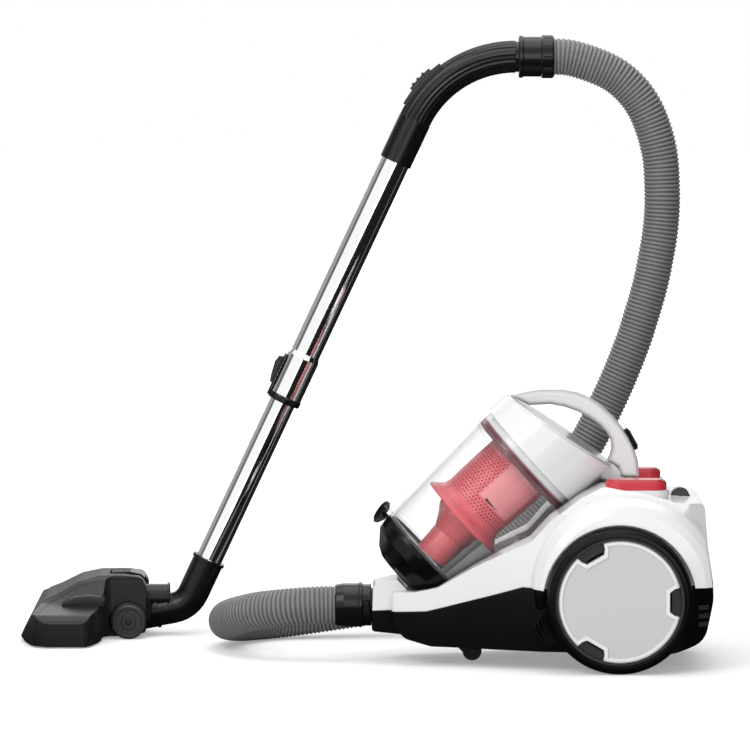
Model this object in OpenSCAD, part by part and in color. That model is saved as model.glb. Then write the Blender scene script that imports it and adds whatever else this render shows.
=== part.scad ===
// Canister vacuum cleaner with a bagless dust cup, a hose, a telescopic wand and a floor head.
// X runs from the floor head to the tail of the canister, +Z is up, the floor is at z = 0.

/* [Body of the canister] */
// Width of the housing between the rear wheels, mm
body_w = 196; // [192:1:198]
// Thickness of the moulded walls of the housing, mm
wall = 3; // [2.6:0.2:3.4]
// Number of cooling fins in front of each rear wheel
fin_count = 4; // [3:1:5]
// Number of slots in the exhaust grille
slot_count = 7; // [5:1:9]

/* [Rear wheels and caster] */
// Height of the tyre's band round the wheel cap, mm
tyre_band = 12; // [10:0.5:13]
// Width of each tyre, mm
tyre_w = 30; // [27:1:31]
// Diameter of the light wheel cap, mm
cap_d = 142; // [138:1:144]
// Depth of the three notches in the wheel cap, mm
notch_depth = 15; // [11:1:17]
// Diameter of the caster wheel, mm
caster_d = 22; // [21:0.5:22.5]

/* [Dust cup] */
// Radius of the clear wall at its door end, mm
cup_r_low = 57; // [56:0.5:57.5]
// Radius of the clear wall below its flange, mm
cup_r_high = 68; // [67:0.5:68.5]
// Number of holes round each row of the perforated shroud
hole_count = 20; // [16:1:22]
// Diameter of one hole of the shroud, mm
hole_d = 4; // [3:0.2:4.6]

/* [Controls] */
// Length of each red button, mm
button_l = 69; // [66:1:70]
// Width of each red button, mm
button_w = 31; // [28:1:32]
// Diameter of the power dial, mm
dial_d = 22; // [20:0.5:23]

/* [Hose and wand] */
// Outer diameter of the hose, mm
hose_d = 44; // [42:0.5:45]
// Outer diameter of the upper wand tube, mm
upper_d = 35; // [34.6:0.1:35.4]
// Number of lengthwise ribs round the grip
rib_count = 24; // [18:1:28]
// Number of locking dimples along the lower wand tube
dimple_count = 8; // [6:1:9]

/* [Floor head] */
// Width of the floor head across its direction of travel, mm
head_w = 260; // [250:2:264]
// Diameter of the two wheels of the floor head, mm
head_wheel_d = 41; // [39:0.5:42]
// Number of bristle blocks in each brush row
tuft_count = 14; // [10:1:16]

/* [Hidden] */
$fn = 48;
// Planes of the two halves: the canister's middle and the wand's middle
yc = -112;
yw = 112;
tail_x = 403;
motor_x = 335;
motor_z = 94;
outlet_y = 62;
outlet_z = 58;
gap = 0.3;
run = 0.08;

// Side outline of the canister: x, z and corner radius
outline = [[35, 57, 0], [37, 45, 8], [50, 31, 16], [80, 23, 20], [236, 22, 0], [354, 20, 30], [392, 32, 22],
    [tail_x, 78, 24], [tail_x - 1, 98, 0], [395, 140, 24], [391, 190, 8], [358, 192, 0], [326, 201, 20],
    [276, 209, 14], [250, 197, 14], [216, 173, 20], [194, 148, 16], [160, 132, 30], [131, 117, 30], [106, 102, 20],
    [88, 91, 16], [62, 85, 20], [36, 84, 5]];
// Half of the plan outline of the canister: x, distance from the middle and corner radius
plan_half = [[35, 44, 8], [60, 52, 40], [110, 63, 30], [152, 78, 40], [206, body_w / 2 - 3, 30],
    [236, body_w / 2, 20], [368, body_w / 2, 24], [tail_x, 66, 26]];
// Side outline and half width of the narrow snout in front, which the hose plugs into
snout = [[12, 37, 4], [60, 32, 0], [60, 100, 0], [30, 94, 0], [14, 90, 4]];
snout_half = 29;
section_r = 30;
top_z = 212;
belly_z = 19;
// Line that parts the black lower housing from the white upper one
split = [[-20, 61], [12, 61], [46, 62], [74, 63.5], [88, 67], [113, 74], [150, 85], [184, 95.5], [212, 94], [340, 97],
    [430, 99]];

wheel_x = 293;
wheel_d = cap_d + 2 * tyre_band;
wheel_z = wheel_d / 2;
wheel_in = body_w / 2 + 2;
fender_in = wheel_z + 3.5;
// Radius of the fender's outer edge, and how far its centre lies behind and above the wheel's
fender_r = wheel_z + 25;
fender_shift = [9, 10];
axle_r = 8;

cup_x = 72;
cup_z = 125.5;
cup_tilt = 42;
cup_h = 150;
flange_r = 70.5;
flange_top = 165.5;
lid_r = 72;
lid_z = 212;
lid_slope = 14;
cup_t = 2.2;
cradle_gap = 1.8;

caster_x = 122;
clip_in = 20.2;
clip_travel = 1.5;
nose_z = 64;
duct_z = 52;
duct_r = 15.5;

button_x = 313.5;
button_y = 65;
plinth_z = 205;
button_travel = 4;
dial_x = 367;
dial_z = 190;

pivot_x = -272;
pivot_z = 33;
// Wand: slope of the tubes, lengths along them, and the bend of the grip; the cuff's height follows
tube_a = 64.9;
leg_a = 10;
turn = tube_a - leg_a;
elbow_r = 18.5;
elbow_bend = 32;
corner_at = 586;
elbow_corner = [pivot_x + 63.5, pivot_z + 1.6];
rim_at = corner_at - 62;
tube_top = elbow_corner + corner_at * [cos(tube_a), sin(tube_a)];
upper_r = upper_d / 2;
ring_at = 316;
lower_r = 15.5;
lower_from = 198;
bend_r = 132;
grip_end = 54;
bend_x = tube_top[0] + bend_r * sin(tube_a) + grip_end * cos(tube_a);
cuff_z = tube_top[1] + bend_r - bend_r * cos(tube_a) + grip_end * sin(tube_a);
collar_axis = [pivot_x + 42.5, pivot_z + 11];
pedal_pin = [-286, 65.5];

head_wheel_x = -277;

// Corner of a polygon rounded to a radius with a few points
function xy(p) = [p[0], p[1]];
function arc_points(a, b, c, r, k) = let (
        u = (a - b) / norm(a - b),
        v = (c - b) / norm(c - b),
        half = acos(u * v) / 2,
        t = min(r / tan(half), 0.48 * min(norm(a - b), norm(c - b))),
        rr = t * tan(half),
        o = b + (u + v) / norm(u + v) * (rr / sin(half)),
        p = b + u * t - o,
        q = b + v * t - o,
        a0 = atan2(p[1], p[0]),
        da = (atan2(q[1], q[0]) - a0 + 540) % 360 - 180)
    [for (i = [0:k]) o + rr * [cos(a0 + da * i / k), sin(a0 + da * i / k)]];
function rounded(p, k = 4) = let (n = len(p)) [for (i = [0:n - 1]) each
        p[i][2] <= 0 ? [xy(p[i])] : arc_points(xy(p[(i + n - 1) % n]), xy(p[i]), xy(p[(i + 1) % n]), p[i][2], k)];
// Polygon moved inwards by a distance; the points run anticlockwise
function inset(p, d) = let (n = len(p)) [for (i = [0:n - 1]) let (
        u = (p[i] - p[(i + n - 1) % n]) / norm(p[i] - p[(i + n - 1) % n]),
        v = (p[(i + 1) % n] - p[i]) / norm(p[(i + 1) % n] - p[i]),
        m = [-u[1] - v[1], u[0] + v[0]]) p[i] + m * (2 * d / (m * m))];
function both_sides(h) = concat([for (p = h) [p[0], -p[1], p[2]]], [for (i = [len(h) - 1:-1:0]) h[i]]);

// Prism of a side outline, centred on a plane of constant y
module side_prism(pts, y, w) {
    translate([0, y + w / 2, 0])
        rotate([90, 0, 0])
            linear_extrude(w)
                polygon(pts);
}

// Frame on an XZ point whose local Z leans by an angle from vertical towards +X
module leaning(p, y, a) {
    translate([p[0], y, p[1]])
        rotate([0, a, 0])
            children();
}

module cup_frame() {
    leaning([cup_x, cup_z], yc, 90 - cup_tilt)
        children();
}

module tube_frame() {
    leaning(tube_top, yw, -90 - tube_a)
        children();
}

// Frame of a rear wheel: local Z points outwards from the middle, local Y up
module wheel_frame(side) {
    translate([wheel_x, yc, wheel_z])
        mirror([0, side > 0 ? 1 : 0, 0])
            rotate([90, 0, 0])
                children();
}

module stadium(l, w, h) {
    linear_extrude(h)
        union() {
            square([l - w, w], center = true);
            translate([(l - w) / 2, 0])
                circle(w / 2);
            translate([(w - l) / 2, 0])
                circle(w / 2);
        }
}

module ring(r_out, r_in, h) {
    difference() {
        cylinder(r = r_out, h = h);
        translate([0, 0, -1])
            cylinder(r = r_in, h = h + 2);
    }
}

// Outer skin of the canister, moved inwards by a distance
module snout_form(d) {
    side_prism(inset(rounded(snout), d), yc, 2 * (snout_half - d));
}

module shell_form(d) {
    side = inset(rounded(outline), d);
    plan = inset(rounded(both_sides(plan_half)), d);
    front = inset(rounded([[-110, belly_z, 0], [110, belly_z, 0], [110, 150, 0], [body_w / 2 - 14, top_z, section_r],
        [14 - body_w / 2, top_z, section_r], [-110, 150, 0]]), d);
    intersection() {
        side_prism(side, yc, 260);
        translate([0, yc, -10])
            linear_extrude(240)
                polygon(plan);
        translate([-20, yc, 0])
            rotate([90, 0, 90])
                linear_extrude(460)
                    polygon(front);
    }
}

module below_split(d) {
    side_prism(concat([[-20, -30], [430, -30]], [for (i = [len(split) - 1:-1:0]) split[i] - [0, d]]), yc, 300);
}

// Hollow that the dust cup sits in, swept round the cup's axis with clearance
module cradle_form(c) {
    cup_frame() {
        rotate_extrude($fn = 96)
            polygon([[0, -40 - c], [34 + c, -40 - c], [56.6 + c, -20 - c], [cup_r_low + 2 + c, -6],
                [cup_r_low + 2 + c, 3], [cup_r_high + 1.4 + c, cup_h - 4], [lid_r + c, cup_h], [lid_r + c, 245], [0, 245]]);
        translate([52, -17 - c, -13 - c])
            cube([16.5 + c, 34 + 2 * c, 24 + 2 * c]);
        translate([40, -31 - c, 92 - c])
            cube([36.5 + c, 62 + 2 * c, 52 + 2 * c]);
    }
}

module lower_housing() {
    color([0.05, 0.05, 0.055])
        difference() {
            union() {
                intersection() {
                    difference() {
                        union() {
                            shell_form(0);
                            snout_form(0);
                        }
                        shell_form(wall);
                        snout_form(wall);
                    }
                    below_split(gap);
                }
                for (s = [-1, 1])
                    intersection() {
                        wheel_frame(s)
                            fender(3);
                        below_split(gap);
                        translate([150, yc - 150, 72])
                            cube([70, 300, 60]);
                    }
                translate([caster_x, yc, 22])
                    cylinder(r = 33, h = 13);
                intersection() {
                    union() {
                        for (s = [-1, 1])
                            wheel_frame(s)
                                translate([0, 0, wheel_in - 20])
                                    cylinder(r = 20, h = 18);
                        reel_frame()
                            translate([0, 0, 36.2])
                                cylinder(r = 11, h = 17.5);
                    }
                    below_split(gap);
                }
                for (s = [-1, 1]) {
                    intersection() {
                        wheel_frame(s)
                            fins();
                        translate([150, yc - 150, 22])
                            cube([90, 300, 60]);
                    }
                }
                screw_spots()
                    translate([0, 0, 1])
                        cylinder(r = 6, h = 50);
                translate([motor_x, yc - 8, 22])
                    motor_saddle();
            }
            translate([caster_x, yc, 10])
                cylinder(r = 29, h = 18);
            translate([caster_x, yc, 20])
                cylinder(r = 4 + run, h = 20);
            for (s = [-1, 1])
                wheel_frame(s)
                    translate([0, 0, wheel_in - 18])
                        cylinder(r = axle_r, h = 40);
            reel_frame()
                cylinder(r = 5.02, h = 45);
            screw_holes();
            nose_bore();
            grille_window(0);
            cradle_form(cradle_gap + wall + gap);
            translate([tail_x - 15, yc + outlet_y, outlet_z])
                rotate([0, 90, 0])
                    cylinder(r = 9, h = 30);
        }
}

module motor_saddle() {
    difference() {
        translate([-30, -40, 0])
            cube([60, 80, 30]);
        translate([0, -50, motor_z - 22])
            rotate([-90, 0, 0])
                cylinder(r = 52 + gap, h = 100);
        translate([-22, -34, -1])
            cube([44, 68, 40]);
    }
}

// Cooling fins that stand out from the side wall in front of a rear wheel, concentric with its tyre
module fins() {
    for (i = [0:fin_count - 1])
        rotate([0, 0, 190 + 2.5 * i])
            rotate_extrude(angle = 27 - 3.5 * i, $fn = 96)
                translate([wheel_z + 3 + 4.6 * i, wheel_in - 12])
                    square([2, 22]);
}

module nose_bore() {
    translate([-2, yc, nose_z])
        rotate([0, 90, 0])
            cylinder(r = 20, h = 40);
}

module screw_spots() {
    for (s = [-1, 1]) {
        translate([262, yc + s * 80, 22])
            children();
        translate([175, yc + s * 62, 22])
            children();
    }
}

module screw_holes() {
    screw_spots() {
        translate([0, 0, -3])
            cylinder(r = 4.3, h = 6);
        cylinder(r = 1.8, h = 26);
    }
}

module housing_screws() {
    color([0.6, 0.6, 0.62])
        screw_spots()
            difference() {
                union() {
                    translate([0, 0, 0.5])
                        cylinder(r = 3.8, h = 2.4);
                    translate([0, 0, 2.8])
                        cylinder(r = 1.7, h = 19);
                }
                translate([-0.6, -2.6, 0])
                    cube([1.2, 5.2, 1.6]);
            }
}

// Window for the exhaust grille in the tail
module grille_window(d) {
    translate([tail_x - 31, yc - 52 + d, 46 + d])
        cube([40, 104 - 2 * d, 34 - 2 * d]);
}

module upper_housing() {
    color([0.93, 0.93, 0.93])
        difference() {
            union() {
                difference() {
                    union() {
                        shell_form(0);
                        snout_form(0);
                    }
                    difference() {
                        union() {
                            shell_form(wall);
                            snout_form(wall);
                        }
                        cradle_form(cradle_gap + wall);
                    }
                    below_split(0);
                }
                intersection() {
                    shell_form(wall + gap);
                    cradle_form(cradle_gap + wall);
                }
                intersection() {
                    for (s = [-1, 1])
                        wheel_frame(s)
                            fender(0);
                    difference() {
                        side_prism(inset(rounded(outline), 3.5), yc, 260);
                        below_split(0);
                    }
                }
                for (s = [-1, 1])
                    translate([button_x, yc + s * button_y, plinth_z - 24])
                        stadium(button_l + 6, button_w + 6, 24);
                translate([dial_x - 14, yc - 13, dial_z - 14])
                    cube([26, 26, 15]);
                translate([258.5, yc - 23.5, 150])
                    cube([25, 47, 54]);
                for (s = [-1, 1])
                    translate([342, yc + s * 79, 168])
                        cylinder(r = 3.5, h = 24);
            }
            for (s = [-1, 1]) {
                translate([button_x, yc + s * button_y, plinth_z - 15])
                    stadium(button_l + 1, button_w + 1, 40);
                translate([button_x, yc + s * button_y, plinth_z - 40])
                    cylinder(r = 5.2, h = 60);
            }
            cradle_form(cradle_gap);
            nose_bore();
            translate([dial_x, yc, dial_z])
                rotate([90, 0, 0])
                    cylinder(r = dial_d / 2 + 1, h = 18, center = true);
            translate([dial_x, yc, dial_z])
                rotate([90, 0, 0])
                    cylinder(r = 2 + run, h = 24, center = true);
            translate([262, yc - 20, 140])
                cube([18, 40, 90]);
        }
}

// Arch with a sloping cheek over the upper half of a rear wheel, narrowest in front
module fender(d) {
    difference() {
        translate(fender_shift)
            rotate_extrude($fn = 96)
                polygon([[fender_r - 40, wheel_in - 12], [fender_r - d, wheel_in - 12], [fender_r - d, wheel_in - 3],
                    [fender_r - 3 - d, wheel_in + 5], [fender_r - 10 - d, wheel_in + 13],
                    [fender_r - 19 - d, wheel_in + 18.5 - d], [fender_r - 40, wheel_in + 21 - d]]);
        translate([0, 0, wheel_in - 20])
            cylinder(r = fender_in, h = 60, $fn = 96);
    }
}

module inlet_duct() {
    color([0.16, 0.16, 0.17])
        difference() {
            union() {
                leaning([14.5, nose_z], yc, 104)
                    cylinder(r = duct_r + 3, h = 50);
                leaning([62, duct_z], yc, 90)
                    cylinder(r = duct_r, h = 128);
                translate([62, yc, duct_z])
                    sphere(r = duct_r);
                translate([180, yc - 30, 36])
                    cube([50, 60, 110]);
            }
            leaning([8, nose_z + 1.6], yc, 104)
                cylinder(r = duct_r - 1.5, h = 56);
            leaning([62, duct_z], yc, 90)
                cylinder(r = duct_r - 2, h = 124);
            translate([183, yc - 27, 39])
                cube([44, 54, 120]);
            cradle_form(cradle_gap + wall + gap);
            translate([-10, yc - 40, 0])
                cube([24.1, 80, 120]);
        }
}

// Rubber gasket between the duct and the inlet of the dust cup
module duct_seal() {
    color([0.1, 0.1, 0.1])
        cup_frame()
            difference() {
                translate([75.9, -26, 96])
                    cube([2, 52, 44]);
                translate([70, -22, 100])
                    cube([20, 44, 36]);
            }
}

module exhaust_grille() {
    color([0.09, 0.09, 0.1])
        difference() {
            intersection() {
                difference() {
                    shell_form(0);
                    shell_form(wall);
                }
                grille_window(gap);
            }
            for (i = [0:slot_count - 1])
                translate([360, yc - 45, 50.5 + i * 26 / slot_count])
                    cube([60, 90, 15 / slot_count]);
        }
}

module exhaust_filter() {
    color([0.85, 0.85, 0.82])
        difference() {
            translate([tail_x - 17.7, yc - 48, 48])
                cube([6, 96, 30]);
            for (i = [0:11])
                translate([tail_x - 14.2, yc - 46 + i * 8, 50])
                    cube([6, 4, 26]);
        }
}

module motor_case() {
    color([0.35, 0.36, 0.38])
        translate([motor_x, yc - 48, motor_z])
            rotate([-90, 0, 0])
                difference() {
                    union() {
                        cylinder(r = 52, h = 40);
                        translate([0, 0, 40])
                            cylinder(r1 = 52, r2 = 36, h = 6);
                        translate([0, 0, 46])
                            cylinder(r = 36, h = 34);
                    }
                    translate([0, 0, 4])
                        cylinder(r = 49, h = 30);
                    translate([0, 0, 34])
                        cylinder(r = 3 + run, h = 60);
                    translate([0, 0, 52])
                        ring(32, 14, 24);
                    translate([0, 0, -1])
                        cylinder(r = 16, h = 10);
                }
}

// Fan wheel of the motor, with its shaft
module impeller() {
    color([0.75, 0.76, 0.78])
        translate([motor_x, yc - 48, motor_z])
            rotate([-90, 0, 0])
                union() {
                    translate([0, 0, 28])
                        cylinder(r = 46, h = 3);
                    translate([0, 0, 12])
                        cylinder(r = 3, h = 64);
                    translate([0, 0, 12])
                        cylinder(r = 8, h = 18);
                    for (i = [0:8])
                        rotate([0, 0, i * 40])
                            translate([12, -1, 8])
                                rotate([0, 0, 18])
                                    cube([31, 2, 20.5]);
                }
}

// Frame at the inner face of the cord reel, local Z along its axle
module reel_frame() {
    translate([330, yc + 43.8, 86])
        rotate([-90, 0, 0])
            children();
}

module cord_reel() {
    color([0.2, 0.2, 0.21])
        reel_frame()
            difference() {
                union() {
                    cylinder(r = 54, h = 2.5);
                    cylinder(r = 26, h = 34);
                    translate([0, 0, 31.5])
                        cylinder(r = 54, h = 2.5);
                }
                translate([0, 0, -1])
                    cylinder(r = 5 + run, h = 40);
                translate([0, 0, 4])
                    ring(23, 10, 26);
                for (i = [0:5])
                    rotate([0, 0, i * 60])
                        translate([40, 0, -1])
                            cylinder(r = 8, h = 40);
            }
}

module reel_axle() {
    color([0.7, 0.7, 0.72])
        reel_frame()
            union() {
                translate([0, 0, -3.8])
                    cylinder(r = 9, h = 3.5);
                translate([0, 0, -1])
                    cylinder(r = 5, h = 45);
            }
}

// Bushing that the cord leaves by, in the tail beside the grille
module cord_outlet() {
    color([0.12, 0.12, 0.12])
        translate([tail_x - 11, yc + outlet_y, outlet_z])
            rotate([0, 90, 0])
                difference() {
                    union() {
                        cylinder(r = 8.8, h = 8);
                        translate([0, 0, 6])
                            cylinder(r = 7, h = 4);
                    }
                    translate([0, 0, -1])
                        cylinder(r = 4, h = 20);
                }
}

module pre_motor_filter() {
    color([0.25, 0.27, 0.3])
        translate([263, yc - 19.5, 152])
            cube([16, 39, 26]);
}

module control_board() {
    color([0.1, 0.35, 0.2])
        union() {
            translate([330, yc - 84, 166])
                cube([24, 168, 1.6]);
            translate([336, yc - 8, 167.6])
                cube([10, 16, 6]);
        }
}

module axle(side) {
    wheel_frame(side)
        union() {
            translate([0, 0, wheel_in - 17.7])
                cylinder(r = axle_r - 0.02, h = tyre_w + 5.4);
            translate([0, 0, wheel_in + tyre_w - 12.3])
                cylinder(r1 = axle_r - 0.02, r2 = axle_r - 1.5, h = 1.5);
        }
}

module axle_left() {
    color([0.7, 0.7, 0.72])
        axle(-1);
}

module axle_right() {
    color([0.7, 0.7, 0.72])
        axle(1);
}

// Tyre: a black band with rounded shoulders round the rim
module tyre(side) {
    wheel_frame(side)
        rotate_extrude($fn = 96)
            polygon([[cap_d / 2 + 2.2, wheel_in + 1], [wheel_z - 5, wheel_in], [wheel_z - 1.4, wheel_in + 1.4],
                [wheel_z, wheel_in + 5], [wheel_z, wheel_in + tyre_w - 8], [wheel_z - 1.6, wheel_in + tyre_w - 3.4],
                [wheel_z - 5, wheel_in + tyre_w - 0.6], [cap_d / 2 + 3.5, wheel_in + tyre_w],
                [cap_d / 2 + 2.2, wheel_in + tyre_w - 2]]);
}

module tyre_left() {
    color([0.04, 0.04, 0.045])
        tyre(-1);
}

module tyre_right() {
    color([0.04, 0.04, 0.045])
        tyre(1);
}

// Rim: a dark dished disc with a hub that runs on the axle
module rim(side) {
    wheel_frame(side)
        difference() {
            union() {
                rotate_extrude($fn = 96)
                    polygon([[axle_r + run, wheel_in - 1.5], [15, wheel_in - 1.5], [17, wheel_in + 3],
                        [cap_d / 2 - 6, wheel_in + 5], [cap_d / 2 - 2, wheel_in + 1.5], [cap_d / 2 + 2, wheel_in + 1.5],
                        [cap_d / 2 + 2, wheel_in + tyre_w - 4], [cap_d / 2 - 1, wheel_in + tyre_w - 4],
                        [cap_d / 2 - 2, wheel_in + tyre_w - 10.3], [cap_d / 2 - 12, wheel_in + tyre_w - 10.3],
                        [cap_d / 2 - 15, wheel_in + 8.5], [18, wheel_in + 7], [15, wheel_in + tyre_w - 10.3],
                        [axle_r + run, wheel_in + tyre_w - 10.3]]);
            }
            translate([0, 0, wheel_in - 2])
                cylinder(r = axle_r + run, h = 24);
        }
}

module rim_left() {
    color([0.12, 0.12, 0.13])
        rim(-1);
}

module rim_right() {
    color([0.12, 0.12, 0.13])
        rim(1);
}

// Notch of the wheel cap, cut from the edge towards the centre, grown by a border
module notch(d) {
    base = cap_d / 2 - notch_depth;
    linear_extrude(20)
        polygon([[base - d, -11 - 0.6 * d], [base - d, 11 + 0.6 * d], [base + 5, 15 + d], [cap_d / 2 + 6, 20 + d],
            [cap_d / 2 + 6, -20 - d], [base + 5, -15 - d]]);
}

module cap(side) {
    top = wheel_in + tyre_w;
    wheel_frame(side)
        difference() {
            union() {
                rotate_extrude($fn = 96)
                    polygon([[0, top - 10], [cap_d / 2 - 3, top - 10], [cap_d / 2 - 1.2, top - 4], [cap_d / 2 - 2.6, top - 0.8],
                        [cap_d / 2 - 5, top], [cap_d / 2 - 7, top - 1.8], [0, top - 1.8]]);
                intersection() {
                    rotate_extrude($fn = 96)
                        polygon([[0, top - 8], [cap_d / 2 - 2, top - 8], [cap_d / 2 - 2, top - 2.6],
                            [cap_d / 2 - 4.5, top - 0.3], [0, top - 0.3]]);
                    for (a = [0, 120, 240])
                        rotate([0, 0, a])
                            translate([0, 0, top - 15])
                                notch(4.5);
                }
            }
            for (a = [0, 120, 240])
                rotate([0, 0, a])
                    translate([0, 0, top - 15])
                        notch(0);
        }
}

module cap_left() {
    color([0.78, 0.78, 0.79])
        cap(-1);
}

module cap_right() {
    color([0.78, 0.78, 0.79])
        cap(1);
}

module caster_fork() {
    color([0.08, 0.08, 0.085])
        translate([caster_x, yc, 0])
            difference() {
                union() {
                    translate([0, 0, 24])
                        cylinder(r = 20, h = 3);
                    translate([0, 0, 26])
                        cylinder(r = 4, h = 9.8);
                    difference() {
                        side_prism([[-18, 25], [-14, 20], [-2, 7.5], [4, 4.5], [10, 5.5], [14, 11], [17, 25]], 0, 24);
                        translate([-20, -8, 0])
                            cube([40, 16, 24]);
                    }
                }
                translate([6, 0, caster_d / 2])
                    rotate([90, 0, 0])
                        cylinder(r = 2, h = 40, center = true);
            }
}

module caster_wheel() {
    color([0.2, 0.2, 0.2])
        translate([caster_x + 6, yc, caster_d / 2])
            rotate([90, 0, 0])
                rotate_extrude()
                    polygon([[2 + run, -7], [caster_d / 2 - 1.5, -7], [caster_d / 2, -5], [caster_d / 2, 5],
                        [caster_d / 2 - 1.5, 7], [2 + run, 7]]);
}

module caster_pin() {
    color([0.7, 0.7, 0.72])
        translate([caster_x + 6, yc, caster_d / 2])
            rotate([90, 0, 0])
                cylinder(r = 1.98, h = 23, center = true);
}

// Red key with a low domed top and a stem that reaches its switch
module key(side) {
    translate([button_x, yc + side * button_y, plinth_z - 8])
        union() {
            stadium(button_l, button_w, 17);
            translate([0, 0, 17])
                stadium(button_l - 3, button_w - 3, 1.6);
            translate([0, 0, 18.6])
                stadium(button_l - 8, button_w - 8, 1);
            translate([0, 0, -10])
                cylinder(r = 4.6, h = 11);
        }
}

module power_button() {
    color([0.8, 0.2, 0.25])
        key(-1);
}

module rewind_button() {
    color([0.8, 0.2, 0.25])
        key(1);
}

// Thumbwheel that sets the suction power
module power_dial() {
    color([0.06, 0.06, 0.065])
        translate([dial_x, yc, dial_z])
            rotate([90, 0, 0])
                difference() {
                    union() {
                        cylinder(r = dial_d / 2, h = 12, center = true);
                        cylinder(r = dial_d / 2 - 1.5, h = 15, center = true);
                        cylinder(r = 2, h = 23, center = true);
                    }
                    for (i = [0:17])
                        rotate([0, 0, i * 20])
                            translate([dial_d / 2, 0, -20])
                                cylinder(r = 0.9, h = 40, $fn = 6);
                }
}

// Collar at the canister end of the hose, with a slotted ring against the nose
module hose_collar() {
    color([0.06, 0.06, 0.065])
        translate([0, yc, nose_z])
            rotate([0, 90, 0])
                difference() {
                    rotate_extrude()
                        polygon([[15.5, -30], [hose_d / 2 + 0.5, -30], [hose_d / 2 + 1.5, -28.5], [25, -20], [25, -3],
                            [26, -2], [26, 1], [24, 1.6], [24, 10], [25, 11.6], [19.7, 11.6], [19.7, 13.8], [15.5, 13.8]]);
                    for (s = [-1, 1])
                        translate([-8.3, s * (clip_in - clip_travel - 0.3 + 5) - 5, 1.8])
                            cube([16.6, 10, 8.2]);
                }
}

module clip(side) {
    translate([0, yc + side * clip_in, nose_z])
        mirror([0, side > 0 ? 0 : 1, 0])
            union() {
                translate([2.1, 0, -7.5])
                    cube([7.2, 4, 15]);
                translate([2.9, 3.5, -5])
                    cube([5.6, 2.8, 10]);
            }
}

module clip_left() {
    color([0.15, 0.15, 0.16])
        clip(-1);
}

module clip_right() {
    color([0.15, 0.15, 0.16])
        clip(1);
}

// Middle line of the hose from the canister's collar round to the wand's cuff
route = [[-30.5, -112, 64], [-42, -112, 64], [-55, -112, 63.5], [-68, -111, 62.5], [-81, -108.5, 61], [-94, -104, 59],
    [-106, -98, 57], [-118, -90.5, 54.5], [-128, -81.5, 51.5], [-137, -71, 48], [-145, -59.5, 44.5],
    [-151, -46.5, 41], [-155, -33, 37.5], [-157, -19, 34], [-157, -5, 31], [-155, 9, 28.5], [-151, 22.5, 26],
    [-144.5, 35, 24], [-136, 46, 22.8], [-125.5, 56, 22.3], [-113, 64.5, 22.2], [-99.5, 71, 22.6], [-85, 76, 23.6],
    [-68, 80, 25.3], [-50, 83, 27.5], [-30, 85.5, 30], [-8, 87.5, 33], [16, 89.5, 36.5], [40, 91, 41], [64, 92.5, 47],
    [88, 94, 55], [111, 95.5, 65], [133, 97, 77], [154, 98, 91], [173.5, 99, 106.5], [192, 100, 124],
    [209, 101, 142.5], [225, 102, 162], [240, 103, 182.5], [253.5, 104, 204], [266, 104.5, 226],
    [278, 105, 248], [289, 106, 270.5], [299.5, 107, 293], [309.5, 107.5, 316], [318.5, 108, 339], [326.5, 108.5, 361],
    [333.5, 109, 384], [340, 109.5, 406], [345.5, 110, 428], [350, 110.5, 451], [354, 111, 474], [356.5, 111.5, 497],
    [357.5, 111.5, 520], [357, 112, 543], [355.5, 112, 566], [351.5, 112, 588], [345.5, 112, 608], [338, 112, 626],
    [329, 112, 641], [318, 112, 654], [305.5, 112, 665], [291.5, 112, 673.5], [276.5, 112, 680], [262, 112, 685],
    [249, 112, 688.5], [238, 112, 690], [228.2, 112, 690]];
hose_sides = 10;

function unit(v) = v / norm(v);
function tangent(i) = unit(route[min(i + 1, len(route) - 1)] - route[max(i - 1, 0)]);
function across(t) = unit(cross([0, 1, 0.6], t));
function hose_ring(i, r) = let (t = tangent(i), a = across(t), b = cross(t, a))
    [for (k = [0:hose_sides - 1]) route[i] + r * (a * cos(k * 360 / hose_sides) + b * sin(k * 360 / hose_sides))];

module hose() {
    rings = len(route);
    pts = [for (i = [0:rings - 1]) each hose_ring(i, hose_d / 2)];
    walls = [for (i = [0:rings - 2]) for (k = [0:hose_sides - 1]) let (n = (k + 1) % hose_sides)
            [i * hose_sides + n, i * hose_sides + k, (i + 1) * hose_sides + k, (i + 1) * hose_sides + n]];
    caps = [[for (k = [0:hose_sides - 1]) k], [for (k = [hose_sides - 1:-1:0]) (rings - 1) * hose_sides + k]];
    color([0.4, 0.4, 0.41])
        polyhedron(pts, concat(walls, caps));
}

// Cuff that the wand's handle turns in
module hose_cuff() {
    color([0.06, 0.06, 0.065])
        translate([bend_x, yw, cuff_z])
            rotate([0, 90, 0])
                difference() {
                    rotate_extrude()
                        polygon([[18 + run, 4], [24, 4], [25, 5], [25, 8.5], [23.6, 9.5], [23.6, 30.5], [25.5, 31.5],
                            [25.5, 43.5], [24, 45.5], [15.5, 45.5], [15.5, 33.5], [18 + run, 33.5]]);
                    for (a = [0:30:330])
                        rotate([0, 0, a])
                            translate([26, 0, 33.5])
                                cylinder(r = 1.2, h = 9);
                }
}

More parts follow.
